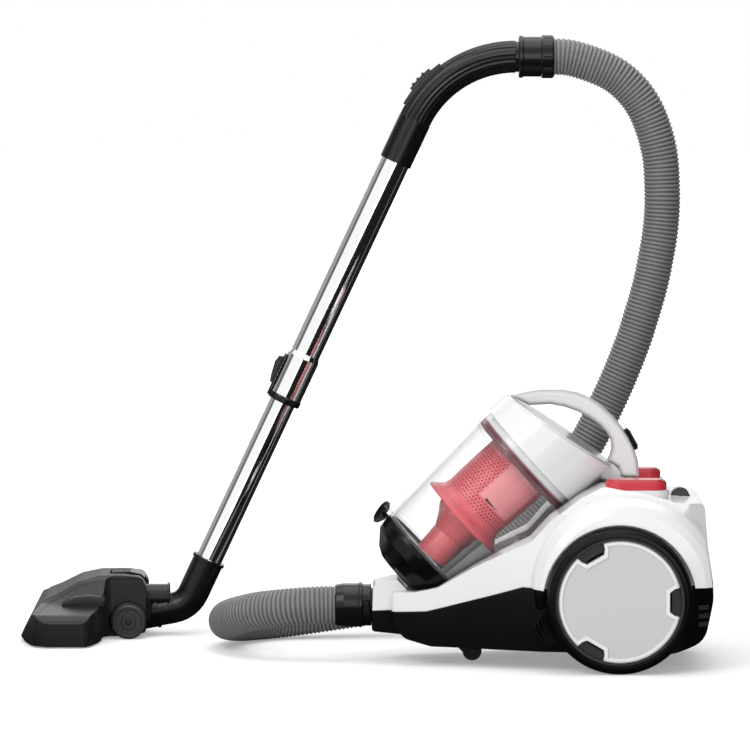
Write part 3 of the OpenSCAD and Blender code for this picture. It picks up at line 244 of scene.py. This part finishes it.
floor_paint = Finish("floor_white", Base_Color=(0.86, 0.86, 0.86), Roughness=0.9, Specular_IOR_Level=0.1,
                     Emission_Strength=1.0)
floor_place = floor_paint.place()
floor_reach = floor_paint.node("ShaderNodeVectorMath", {"operation": "LENGTH"}, {0: floor_place}, out="Value")
floor_glow = floor_reach.ramp(0.9, 3.2) * 0.7 + 0.3
floor_rays = floor_paint.node("ShaderNodeLightPath", out="Is Camera Ray")
for ray in ("Is Glossy Ray", "Is Transmission Ray"):
    floor_rays = floor_rays.op("MAXIMUM", floor_paint.node("ShaderNodeLightPath", out=ray))
floor_seen = floor_paint.blend(floor_rays * floor_glow, (0.0, 0.0, 0.0), (1.0, 1.0, 1.0))
floor_paint.set(Emission_Color=floor_seen)
staged_quad("floor", lying(-14, 14, -14, 14, 0), floor_paint)

# ---------------------------------------------------------------------------
# Hose: grey corrugated plastic, wound on a wire spiral. It leaves the collar
# on the nose, loops back over the floor and rises behind to the wand's cuff.
# ---------------------------------------------------------------------------
HOSE_ROUTE = np.array([
    (-30.5, -112, 64), (-42, -112, 64), (-55, -112, 63.5), (-68, -111, 62.5), (-81, -108.5, 61),
    (-94, -104, 59), (-106, -98, 57), (-118, -90.5, 54.5), (-128, -81.5, 51.5), (-137, -71, 48),
    (-145, -59.5, 44.5), (-151, -46.5, 41), (-155, -33, 37.5), (-157, -19, 34), (-157, -5, 31),
    (-155, 9, 28.5), (-151, 22.5, 26), (-144.5, 35, 24), (-136, 46, 22.8), (-125.5, 56, 22.3),
    (-113, 64.5, 22.2), (-99.5, 71, 22.6), (-85, 76, 23.6), (-68, 80, 25.3), (-50, 83, 27.5),
    (-30, 85.5, 30), (-8, 87.5, 33), (16, 89.5, 36.5), (40, 91, 41), (64, 92.5, 47), (88, 94, 55),
    (111, 95.5, 65), (133, 97, 77), (154, 98, 91), (173.5, 99, 106.5), (192, 100, 124), (209, 101, 142.5),
    (225, 102, 162), (240, 103, 182.5), (253.5, 104, 204), (266, 104.5, 226), (278, 105, 248),
    (289, 106, 270.5), (299.5, 107, 293), (309.5, 107.5, 316), (318.5, 108, 339), (326.5, 108.5, 361),
    (333.5, 109, 384), (340, 109.5, 406), (345.5, 110, 428), (350, 110.5, 451), (354, 111, 474),
    (356.5, 111.5, 497), (357.5, 111.5, 520), (357, 112, 543), (355.5, 112, 566), (351.5, 112, 588),
    (345.5, 112, 608), (338, 112, 626), (329, 112, 641), (318, 112, 654), (305.5, 112, 665),
    (291.5, 112, 673.5), (276.5, 112, 680), (262, 112, 685), (249, 112, 688.5), (238, 112, 690),
    (228.2, 112, 690)]) / 1000.0
HOSE_RADIUS, HOSE_GROOVE, HOSE_PITCH = 0.022, 0.0017, 0.0049
RINGS_PER_PITCH, HOSE_SIDES = 6, 36


def smooth_path(knots, step):
    """Points every step along a curve through the knots: a Catmull-Rom cubic
    on each span, then evened out by its own running length."""
    p = np.vstack([2 * knots[0] - knots[1], knots, 2 * knots[-1] - knots[-2]])
    t = np.linspace(0, 1, 12, endpoint=False)[:, None]
    spans = [0.5 * (2 * b + (c - a) * t + (2 * a - 5 * b + 4 * c - d) * t**2 + (3 * b - a - 3 * c + d) * t**3)
             for a, b, c, d in zip(p[:-3], p[1:-2], p[2:-1], p[3:])]
    line = np.vstack(spans + [knots[-1:]])
    run = np.concatenate([[0], np.cumsum(np.linalg.norm(np.diff(line, axis=0), axis=1))])
    count = max(2, int(round(run[-1] / step)) + 1)
    even = np.linspace(0, run[-1], count)
    return np.stack([np.interp(even, run, line[:, i]) for i in range(3)], -1), even


def carried(line, radius, sides):
    """Grid of a round tube: at each point of the line a circle of the radius
    there, square to the line."""
    tangent = np.gradient(line, axis=0)
    tangent /= np.linalg.norm(tangent, axis=1, keepdims=True)
    across = np.cross(np.array((0.0, 1.0, 0.6)), tangent)
    across /= np.linalg.norm(across, axis=1, keepdims=True)
    other = np.cross(tangent, across)
    a = np.linspace(0, 2 * math.pi, sides, endpoint=False)
    circle = np.cos(a)[None, :, None] * across[:, None] + np.sin(a)[None, :, None] * other[:, None]
    return line[:, None] + radius[:, None, None] * circle


def skin(name, points, around=False, along=False, flip=False):
    """Mesh of a grid of points (rows, columns, 3): each cell is one quad, and
    around or along joins the last column or row to the first."""
    rows, cols = points.shape[:2]
    r = np.arange(rows if along else rows - 1)
    c = np.arange(cols if around else cols - 1)
    rr, cc = np.meshgrid(r, c, indexing="ij")
    a = rr * cols + cc
    b = rr * cols + (cc + 1) % cols
    d = (rr + 1) % rows * cols + cc
    e = (rr + 1) % rows * cols + (cc + 1) % cols
    quads = np.stack([a, b, e, d] if not flip else [a, d, e, b], -1).reshape(-1, 4)
    mesh = bpy.data.meshes.new(name)
    mesh.from_pydata(points.reshape(-1, 3).tolist(), [], quads.tolist())
    mesh.shade_smooth()
    piece = bpy.data.objects.new(name, mesh)
    home.collection.objects.link(piece)
    return piece


hose_line, hose_run = smooth_path(HOSE_ROUTE, HOSE_PITCH / RINGS_PER_PITCH)
hose_wave = 0.5 + 0.5 * np.cos(2 * math.pi * hose_run / HOSE_PITCH)
hose_skin = carried(hose_line, HOSE_RADIUS - HOSE_GROOVE * (1 - hose_wave**0.7), HOSE_SIDES)
hose = skin("hose_corrugated", hose_skin, around=True)
hose_ridge = hose.data.attributes.new("ridge", "FLOAT", "POINT")
hose_ridge.data.foreach_set("value", np.repeat(hose_wave, HOSE_SIDES))
hose_grey = Finish("hose_grey", Roughness=0.42, Specular_IOR_Level=0.4)
# Painted shade: the grooves are painted darker than the ridges, following the ridge height, with a faint
# random cloud of tone on top.
hose_height = hose_grey.node("ShaderNodeAttribute", {"attribute_name": "ridge"}, out="Fac")
hose_tone_and_groove_shade = hose_grey.noise(60.0, 4.0) * 0.2 + hose_height.ramp(0.1, 0.8) * 0.8
hose_grey.set(Base_Color=hose_grey.blend(hose_tone_and_groove_shade, (0.075, 0.075, 0.075), (0.215, 0.215, 0.215)))
hose_grey.set(Normal=hose_grey.bump(hose_grey.noise(900.0, 2.0), 0.08, 0.0004))
hose.data.materials.append(hose_grey.mat)
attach(hose, "canister")
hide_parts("hose")

# ---------------------------------------------------------------------------
# Lower housing: the black tray that carries motor, reel and wheels. It is
# moulded in polished black plastic; three slats in the tail are painted on as
# lighter grey bars, a painted highlight for light catching them.
# ---------------------------------------------------------------------------
BODY_BLACK = (0.003, 0.003, 0.0034)
SLAT_HIGHLIGHT_GREY = (0.028, 0.028, 0.029)
SLAT_X, SLAT_FOOT, SLAT_PITCH = 0.3905, 0.047, 0.0095


def dress(finish, *names):
    """Gives each named solid this one finish."""
    for name in names:
        cad[name].data.materials.clear()
        cad[name].data.materials.append(finish.mat)


def moulded(name, colour, rough, grain, depth, edge=0.0008, coat=0.0, spread=0.012, shine=0.5):
    """Moulded plastic: one colour with a faint cloud in it, a spark-eroded
    grain as fine bump, and edges rounded by the radius given."""
    f = Finish(name, Specular_IOR_Level=shine, Coat_Weight=coat, Coat_Roughness=0.04)
    cloud = f.noise(9.0, 4.0)
    low = tuple(max(0.0, c - spread) for c in colour)
    high = tuple(min(1.0, c + spread) for c in colour)
    f.set(Base_Color=f.blend(cloud, low, high), Roughness=rough + (cloud - 0.5) * (rough * 0.35))
    f.set(Normal=f.node("ShaderNodeBevel", {"samples": 4}, {"Radius": edge}))
    return f.set(Normal=f.bump(f.noise(grain, 2.0), 0.25, depth))


black_body = moulded("body_black", BODY_BLACK, rough=0.2, grain=300.0, depth=0.00004, edge=0.0015,
                     spread=0.001, shine=0.2)
# Painted highlight: three lighter grey bars low on the tail stand for light on its slats.
slat_count = black_body.along((0.0, 0.0, SLAT_FOOT), (0.0, 0.0, 1.0)) * (1 / SLAT_PITCH)
slat_highlights = slat_count.op("FRACT").near(0.5, 0.3, 0.24) * slat_count.near(1.5, 1.52, 1.48)
slat_x = black_body.along((SLAT_X, 0.0, 0.0), (1.0, 0.0, 0.0)).op("ABSOLUTE")
slat_highlights = slat_highlights * slat_x.ramp(0.0065, 0.006)
black_body.set(Base_Color=black_body.blend(slat_highlights, BODY_BLACK, SLAT_HIGHLIGHT_GREY))
dress(black_body, "lower_housing")
black_satin = moulded("satin_black", (0.009, 0.009, 0.0095), rough=0.4, grain=900.0, depth=0.00012,
                      spread=0.002, shine=0.25)
dress(black_satin, "caster_fork", "exhaust_grille", "cord_outlet", "brush_frame")

# ---------------------------------------------------------------------------
# Upper housing: the white shell with both wheel arches and the cradle for the
# cup. High-gloss ABS, polished in the mould, so it mirrors softly.
# ---------------------------------------------------------------------------
white_gloss = moulded("white_gloss", (0.81, 0.81, 0.815), rough=0.2, grain=220.0, depth=0.00003, edge=0.002,
                      coat=0.2, spread=0.006)
dress(white_gloss, "upper_housing")

# ---------------------------------------------------------------------------
# Working parts inside the body: duct, motor, fan, reel, filters and board.
# Plain engineering plastics and plated steel that only show when it's open.
# ---------------------------------------------------------------------------
duct_grey = moulded("duct_plastic", (0.2, 0.2, 0.21), rough=0.5, grain=700.0, depth=0.0001, spread=0.02)
dress(duct_grey, "inlet_duct", "motor_case", "cord_reel", "impeller")
rubber = moulded("rubber", (0.03, 0.03, 0.032), rough=0.62, grain=500.0, depth=0.0001, spread=0.006)
dress(rubber, "duct_seal", "door_seal")
steel = Finish("steel", Metallic=1.0)
steel_cloud = steel.noise(140.0, 4.0)
steel.set(Base_Color=steel.blend(steel_cloud, (0.5, 0.5, 0.51), (0.62, 0.62, 0.63)))
steel.set(Roughness=0.28 + steel_cloud * 0.12)
dress(steel, "reel_axle", "axle_left", "axle_right", "door_pin", "housing_screws")
foam = Finish("foam", Roughness=0.95)
foam_cells = foam.node("ShaderNodeTexVoronoi", inputs={"Vector": foam.place(), "Scale": 700.0})
foam.set(Base_Color=foam.blend(foam_cells, (0.05, 0.05, 0.055), (0.13, 0.13, 0.135)))
foam.set(Normal=foam.bump(foam_cells, 0.8, 0.001))
dress(foam, "pre_motor_filter")
paper = Finish("filter_paper", Roughness=0.9)
paper_folds = paper.node("ShaderNodeTexWave", {"bands_direction": "X"},
                         {"Vector": paper.place(), "Scale": 60.0, "Distortion": 0.3})
# Painted shade: the pleats are painted in lighter and darker bands that follow the folds.
paper.set(Base_Color=paper.blend(paper_folds, (0.52, 0.51, 0.47), (0.78, 0.77, 0.72)))
paper.set(Normal=paper.bump(paper_folds, 0.6, 0.002))
dress(paper, "exhaust_filter")
laminate = Finish("board", Roughness=0.5)
laminate_marks = laminate.node("ShaderNodeTexBrick",
                               inputs={"Vector": laminate.place(), "Scale": 90.0, "Mortar Size": 0.03})
laminate.set(Base_Color=laminate.blend(laminate_marks, (0.03, 0.16, 0.07), (0.05, 0.24, 0.1)))
laminate.set(Normal=laminate.bump(laminate_marks, 0.3, 0.0004))
dress(laminate, "control_board")

# ---------------------------------------------------------------------------
# Wheels: a soft black tyre over a black rim, closed by a silver-grey cap that
# snaps in at three notches and has a raised border, painted lighter as a
# painted highlight on its bevel.
# ---------------------------------------------------------------------------
tyre_black = moulded("tyre", (0.003, 0.003, 0.0034), rough=0.3, grain=600.0, depth=0.00006, spread=0.001,
                     shine=0.13)
dress(tyre_black, "tyre_left", "tyre_right")
rim_black = moulded("rim_black", (0.035, 0.035, 0.037), rough=0.4, grain=900.0, depth=0.00008, spread=0.005,
                    shine=0.3)
dress(rim_black, "rim_left", "rim_right", "caster_wheel", "caster_pin", "head_wheel_left", "head_wheel_right")
cap_grey = moulded("cap_grey", (0.58, 0.58, 0.585), rough=0.36, grain=500.0, depth=0.00005, edge=0.0012,
                   spread=0.012)
# Painted highlight: the cap's raised border is painted a lighter grey than its face.
cap_out = cap_grey.along((0.0, CANISTER_Y, 0.0), (0.0, 1.0, 0.0)).op("ABSOLUTE")
cap_border_highlight = cap_out.ramp(0.1286, 0.1292)
cap_grey.set(Base_Color=cap_grey.blend(cap_border_highlight, (0.59, 0.59, 0.595), (0.8, 0.8, 0.805)))
dress(cap_grey, "cap_left", "cap_right")

# ---------------------------------------------------------------------------
# Foot switches and dial: two red keys, one for power and one to rewind the
# cord, and the small black knob behind them that sets the power.
# ---------------------------------------------------------------------------
red_gloss = moulded("red_plastic", (0.62, 0.035, 0.055), rough=0.25, grain=300.0, depth=0.00004, edge=0.0018,
                    coat=0.2, spread=0.012)
dress(red_gloss, "power_button", "rewind_button")
black_gloss = moulded("black_gloss", (0.005, 0.005, 0.006), rough=0.12, grain=300.0, depth=0.00003,
                      edge=0.001, spread=0.001, shine=0.4)
dress(black_gloss, "power_dial", "lock_button", "release_button")

# ---------------------------------------------------------------------------
# Hose ends: the collar that plugs into the nose with its two spring clips,
# and the cuff that the wand's handle turns in. Both are plain black nylon.
# ---------------------------------------------------------------------------
black_plain = moulded("black_plastic", (0.005, 0.005, 0.0055), rough=0.24, grain=700.0, depth=0.00006,
                      spread=0.0015, shine=0.28)
dress(black_plain, "hose_collar", "hose_cuff", "clip_left", "clip_right")

# ---------------------------------------------------------------------------
# Dust cup: a clear wall with a white lid and handle on top and a black door
# hinged at its foot. It leans back at 42 degrees in the cradle.
# ---------------------------------------------------------------------------
CUP_FOOT = (0.072, CANISTER_Y, 0.1255)
CUP_TILT = math.radians(42)
CUP_X = (math.sin(CUP_TILT), 0.0, -math.cos(CUP_TILT))
CUP_Z = (math.cos(CUP_TILT), 0.0, math.sin(CUP_TILT))
# Heights up the cup's axis, in millimetres.
WALL_STEPS = (4.0, 144.0, 148.8, 158.0)
FLANGE_FROM = 148.9

# Nearly clear face on, denser where it turns away, with a line at each step.
clear = Finish("clear_plastic", Base_Color=(0.4, 0.41, 0.42), Specular_IOR_Level=0.7)
clear.set(Roughness=clear.noise(35.0) * 0.04 + 0.02)
clear_rim = clear.node("ShaderNodeLayerWeight", inputs={"Blend": 0.5}, out="Facing") ** 2.6
clear_up = clear.along(CUP_FOOT, CUP_Z) * 1000.0
clear_lines = sum(clear_up.near(step, 0.45, 0.2) for step in WALL_STEPS)
clear_rim = clear_rim * (1.0 - clear_up.ramp(FLANGE_FROM, FLANGE_FROM + 0.3) * 0.75)
clear.set(Alpha=0.06 + clear_rim * 0.42 + clear_lines * 0.3)
dress(clear, "cup_wall")
LID_WHITE = (0.8, 0.8, 0.805)
lid_white = moulded("lid_white", LID_WHITE, rough=0.22, grain=220.0, depth=0.00003, edge=0.0016, coat=0.2,
                    spread=0.006)
# The faces turned up the cup's axis, the lid's top, are painted mid-grey.
lid_facing = lid_white.node("ShaderNodeNewGeometry", out="Normal")
lid_up = lid_white.vector("DOT_PRODUCT", lid_facing, CUP_Z, out="Value")
lid_white.set(Base_Color=lid_white.blend(lid_up.ramp(0.75, 0.85), LID_WHITE, (0.36, 0.36, 0.365)))
dress(lid_white, "cup_lid")
handle_white = moulded("handle_white", LID_WHITE, rough=0.24, grain=220.0, depth=0.00003, edge=0.0055,
                       coat=0.2, spread=0.006)
dress(handle_white, "cup_handle")
dress(black_body, "cup_door")

# ---------------------------------------------------------------------------
# Filter: a red cone under a red shroud with staggered rows of fine holes, a
# smooth panel and one slit on either side. Both are tinted polycarbonate.
# ---------------------------------------------------------------------------
red_clear = Finish("red_clear", Roughness=0.2, Specular_IOR_Level=0.5, Coat_Weight=0.3)
# Painted shade and highlight: the cone is painted deep red where it turns away from view and light red where
# it faces it.
cone_edge_shade = red_clear.node("ShaderNodeLayerWeight", inputs={"Blend": 0.45}, out="Facing")
red_clear.set(Base_Color=red_clear.blend(cone_edge_shade, (0.93, 0.17, 0.19), (0.3, 0.005, 0.02)))
red_clear.set(Normal=red_clear.bump(red_clear.noise(120.0, 2.0), 0.08, 0.0004))
dress(red_clear, "cyclone_cone")

# Millimetres up the cup's axis, and radians round it from the low side.
HOLES_ROUND, HOLE_PITCH, ROW_PITCH = 58, 4.6, 3.9
HOLES_FROM, HOLES_TO = 76.0, 144.0
PANEL_TURN, PANEL_FROM, SLIT_UP = 1.24, 94.0, 96.5
KEEP_ABOVE_ZERO = 200.0
SHROUD = [(45.8, 149.9), (45.8, 148.1), (43, 147), (42.8, 120), (42.4, 100), (41.6, 79), (43.2, 72),
          (48, 66.8), (53.8, 60.9), (53.8, 58.7), (52.4, 58.7), (46, 64.8), (40.5, 70.4), (38.8, 76),
          (39.4, 110), (40.2, 149), (42, 149.9)]
red_holes = Finish("red_perforated", Roughness=0.28, Specular_IOR_Level=0.4)
shroud_x = red_holes.along(CUP_FOOT, CUP_X)
shroud_y = red_holes.along(CUP_FOOT, (0.0, 1.0, 0.0))
shroud_up = red_holes.along(CUP_FOOT, CUP_Z) * 1000.0
shroud_turn = shroud_y.op("ARCTAN2", shroud_x)
hole_row = shroud_up * (1 / ROW_PITCH)
row_shift = hole_row.op("FLOOR").op("MODULO", 2.0) * 0.5
hole_count = shroud_turn * (HOLES_ROUND / (2 * math.pi)) + row_shift + KEEP_ABOVE_ZERO
hole_u = (hole_count.op("FRACT") - 0.5) * HOLE_PITCH
hole_v = (hole_row.op("FRACT") - 0.5) * ROW_PITCH
hole = (hole_u * hole_u + hole_v * hole_v).ramp(1.5, 0.8)
front_turn = shroud_turn.op("ABSOLUTE")
panel = front_turn.near(PANEL_TURN, 0.64, 0.56) * shroud_up.ramp(PANEL_FROM, PANEL_FROM + 1.5)
slit = (front_turn * 3.2 - 3.3 - (shroud_up - SLIT_UP).op("ABSOLUTE")).ramp(0.0, 0.35)
slit = slit * front_turn.ramp(1.64, 1.6)
hole_zone = shroud_up.ramp(HOLES_FROM, HOLES_FROM + 0.6) * shroud_up.ramp(HOLES_TO, HOLES_TO - 0.6)
hole_zone = hole_zone * (1.0 - panel)
shroud_marks = (hole * hole_zone).op("MAXIMUM", slit)
# Painted shade: the shroud is painted deep red where it turns away from view.
shroud_edge_shade = red_holes.node("ShaderNodeLayerWeight", inputs={"Blend": 0.45}, out="Facing")
shroud_red = red_holes.blend(shroud_edge_shade, (0.9, 0.13, 0.155), (0.36, 0.008, 0.024))
# Painted highlight: the smooth panels are painted pale pink, strongest where they face the view.
shroud_red = red_holes.blend(panel * (1.0 - shroud_edge_shade) * 0.7, shroud_red, (1.0, 0.46, 0.47))
red_holes.set(Base_Color=red_holes.blend(shroud_marks, shroud_red, (0.06, 0.003, 0.006)))
red_holes.set(Normal=red_holes.bump(red_holes.noise(260.0, 2.0), 0.1, 0.0003))


def round_cup(outline, turns):
    """Grid about the cup's leaning axis: each point of an outline, a radius
    and a height in millimetres, is the foot plus the radius turned through
    each angle plus the height along the axis."""
    r, h = np.array(outline, dtype=float).T / 1000.0
    heights = np.broadcast_to(h[:, None], (len(r), len(turns)))
    flat = np.stack([r[:, None] * np.cos(turns), r[:, None] * np.sin(turns), heights], -1)
    return flat @ np.array([CUP_X, (0.0, 1.0, 0.0), CUP_Z]) + np.array(CUP_FOOT)


def ring(name, outline, sides=96):
    """Closed ring: the outline carried once round the cup's axis."""
    turns = np.linspace(0, 2 * math.pi, sides, endpoint=False)
    return skin(name, round_cup(outline, turns), around=True, along=True)


shroud = ring("shroud_perforated", SHROUD, sides=120)
shroud.data.materials.append(red_holes.mat)
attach(shroud, "cup")
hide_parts("filter_shroud")

# ---------------------------------------------------------------------------
# Seals of the cup and a painted reflection: a red rubber ring between wall and
# lid with a near-black ring under it, and a smoked grey sheet inside the low
# side of the wall, a painted reflection of that side of the wall.
# ---------------------------------------------------------------------------
SEAL_AT = 153.6
SEAL_RED, SEAL_DARK = (0.34, 0.008, 0.04), (0.02, 0.002, 0.005)
red_seal = moulded("rubber_red", (0.24, 0.008, 0.03), rough=0.3, grain=400.0, depth=0.00006, shine=0.5)
seal_band = (red_seal.along(CUP_FOOT, CUP_Z) * 1000.0).near(SEAL_AT, 1.7, 1.4)
red_seal.set(Base_Color=red_seal.blend(seal_band, SEAL_RED, SEAL_DARK))
dress(red_seal, "seal_ring")
# A near-black ring just under the red one darkens the band below the seal.
dark_ring = ring("seal_dark_ring", [(67.6, 150.3), (67.6, 148.6), (64, 147.6), (60, 148.8), (60, 150.3)])
dark_ring.data.materials.append(rubber.mat)
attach(dark_ring, "cup")

# Painted reflection: this smoked grey sheet, just inside the low side of the wall, stands for the grey that
# side of the wall reflects.
WALL_REFLECTION_OUTLINE = [(50, 3.5), (57.5, 3.5), (60.8, 58), (60, 60), (50, 60), (48, 56), (46, 10), (46, 5)]
wall_reflection = skin("wall_reflection_sheet", round_cup(WALL_REFLECTION_OUTLINE, np.linspace(-1.0, 1.0, 40)), along=True, flip=True)
wall_reflection_paint = moulded("wall_reflection_grey", (0.3, 0.31, 0.3), rough=0.3, grain=300.0, depth=0.00004).set(Alpha=0.85)
wall_reflection.data.materials.append(wall_reflection_paint.mat)
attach(wall_reflection, "cup")

# ---------------------------------------------------------------------------
# Latches of the cup: the black lever that hooks under the door, and the grey
# tongue by which the foot of the handle holds on to the deck.
# ---------------------------------------------------------------------------
LEVER_OUTLINE = [(-71.6, 7.6), (-68, 8.8), (-64.9, 6), (-62.7, 1), (-63.1, -6.2), (-58.4, -6.2), (-58.8, -9),
                 (-61.2, -16), (-65, -18.9), (-68.6, -15.8), (-71.4, -8), (-72.9, 0), (-72.7, 5)]
TONGUE_OUTLINE = [(274, 215), (283.5, 230.5), (291, 227.5), (297, 221.5), (300, 214), (318.5, 212),
                  (318.5, 206), (300, 207.5), (284, 209.5)]


def plate(name, outline, low, high, rounded):
    """Plate with rounded faces, seen from the side: an outline in x and z,
    in millimetres, carried from one y to another. Near either face the outline
    shrinks to its middle along a quarter circle, and a point closes it. Where
    low is above high, the rim stands out past either face as a lip instead."""
    edge = np.array(outline, dtype=float)
    middle = edge.mean(0)
    turn = np.linspace(0, math.pi / 2, 6)
    inset = np.concatenate([1 - np.sin(turn), (1 - np.sin(turn))[::-1]]) * rounded
    reach = np.linalg.norm(edge - middle, axis=1).mean()
    scale = np.concatenate([[0.0], 1 - inset / reach, [0.0]])
    rise = (1 - np.cos(turn)) * rounded
    depth = np.concatenate([[low], low + rise, high - rise[::-1], [high]])
    flat = middle + (edge - middle) * scale[:, None, None]
    grid = np.stack([flat[..., 0], np.broadcast_to(depth[:, None], flat.shape[:2]), flat[..., 1]], -1)
    return skin(name, grid / 1000.0, around=True, flip=high < low)


def from_cup(outline):
    """An outline given across and along the cup's axis, set in the x and z
    of the whole: each point is the foot plus so much of either axis."""
    return np.array(outline) @ np.array([CUP_X, CUP_Z])[:, ::2] + np.array(CUP_FOOT)[::2] * 1000.0


latch = plate("latch_lever", from_cup(LEVER_OUTLINE), low=-105.0, high=-119.0, rounded=1.6)
latch.data.materials.append(black_plain.mat)
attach(latch, "latch")
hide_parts("door_latch")
tongue_grey = moulded("tongue_grey", (0.62, 0.62, 0.625), rough=0.3, grain=300.0, depth=0.00004, edge=0.0015)
tongue = plate("handle_tongue", TONGUE_OUTLINE, low=-129.0, high=-95.0, rounded=2.0)
tongue.data.materials.append(tongue_grey.mat)
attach(tongue, "cup")

# ---------------------------------------------------------------------------
# Wand: black grip with its air slider, two chrome steel tubes that slide in
# each other, the lock between them, and the elbow to the floor head.
# ---------------------------------------------------------------------------
dress(black_plain, "handle_grip", "vent_slider", "lock_ring", "elbow", "neck")
chrome = Finish("chrome", Metallic=1.0)
chrome_cloud = chrome.noise(30.0, 3.0)
chrome.set(Base_Color=chrome.blend(chrome_cloud, (0.92, 0.92, 0.925), (0.95, 0.95, 0.955)))
chrome.set(Roughness=0.05 + chrome_cloud * 0.03)
dress(chrome, "upper_tube", "lower_tube")

# ---------------------------------------------------------------------------
# Floor head: a satin cover over the sole plate, a soft bumper round the front,
# a lever at either side, and the pedal on the back that drops the brushes.
# ---------------------------------------------------------------------------
HEAD_BLACK = (0.015, 0.015, 0.0155)
BAND_BLACK = (0.008, 0.008, 0.0085)
SEAM_BLACK = (0.002, 0.002, 0.002)
# In millimetres from the middle of the whole, forwards and up. The seam of
# the cover runs level, then falls and falls faster towards the front.
BAND_TOP, BAND_BACK = 31.2, 315.6
ARCH_X, ARCH_Z, ARCH_RADIUS = 277.0, 20.5, 22.4
SEAM_LEVEL, SEAM_FALLS, SEAM_DIVES = 69.5, 312.0, 336.0
HEAD_Y, LEVER_IN, LEVER_OUT = 112, 62, 84
SIDE_LEVER = [(-352.5, 48.5), (-345, 52.5), (-337, 55.5), (-322, 57), (-309, 55.5), (-303, 53.5), (-303, 45),
              (-311, 41.5), (-330, 40), (-350, 42.5), (-354, 45)]

head_satin = moulded("head_satin", HEAD_BLACK, rough=0.38, grain=800.0, depth=0.0001, edge=0.0014,
                     spread=0.003, shine=0.35)
head_x = head_satin.along((0.0, 0.0, 0.0), (-1000.0, 0.0, 0.0))
head_z = head_satin.along((0.0, 0.0, 0.0), (0.0, 0.0, 1000.0))
in_front = head_x.ramp(315.8, 316.0)
cover_seam = SEAM_LEVEL - (head_x - SEAM_FALLS).op("MAXIMUM", 0.0) * 0.25
cover_seam = cover_seam - (head_x - SEAM_DIVES).op("MAXIMUM", 0.0) * 0.29
arch = ((head_x - ARCH_X) ** 2.0 + (head_z - ARCH_Z) ** 2.0) ** 0.5
seam = head_z.near(cover_seam, 0.8, 0.4)
seam = seam.op("MAXIMUM", arch.near(ARCH_RADIUS, 1.5, 0.9))
seam = seam.op("MAXIMUM", head_z.near(BAND_TOP, 0.7, 0.4) * in_front)
seam = seam.op("MAXIMUM", head_x.near(BAND_BACK, 0.8, 0.4) * head_z.ramp(40.0, 39.5))
band = head_z.ramp(31.3, 30.9) * in_front
head_tone = head_satin.blend(band, HEAD_BLACK, BAND_BLACK)
head_satin.set(Base_Color=head_satin.blend(seam, head_tone, SEAM_BLACK))
head_satin.set(Normal=head_satin.bump(1.0 - seam, 0.6, 0.0008))
dress(head_satin, "head_cover", "head_sole")
dress(black_satin, "head_bumper")
dress(black_body, "pedal")

for side, low, high in (("left", HEAD_Y - LEVER_OUT, HEAD_Y - LEVER_IN),
                        ("right", HEAD_Y + LEVER_IN, HEAD_Y + LEVER_OUT)):
    lever = plate("head_lever_" + side, SIDE_LEVER, low=low, high=high, rounded=2.0)
    lever.data.materials.append(head_satin.mat)
    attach(lever, "head")
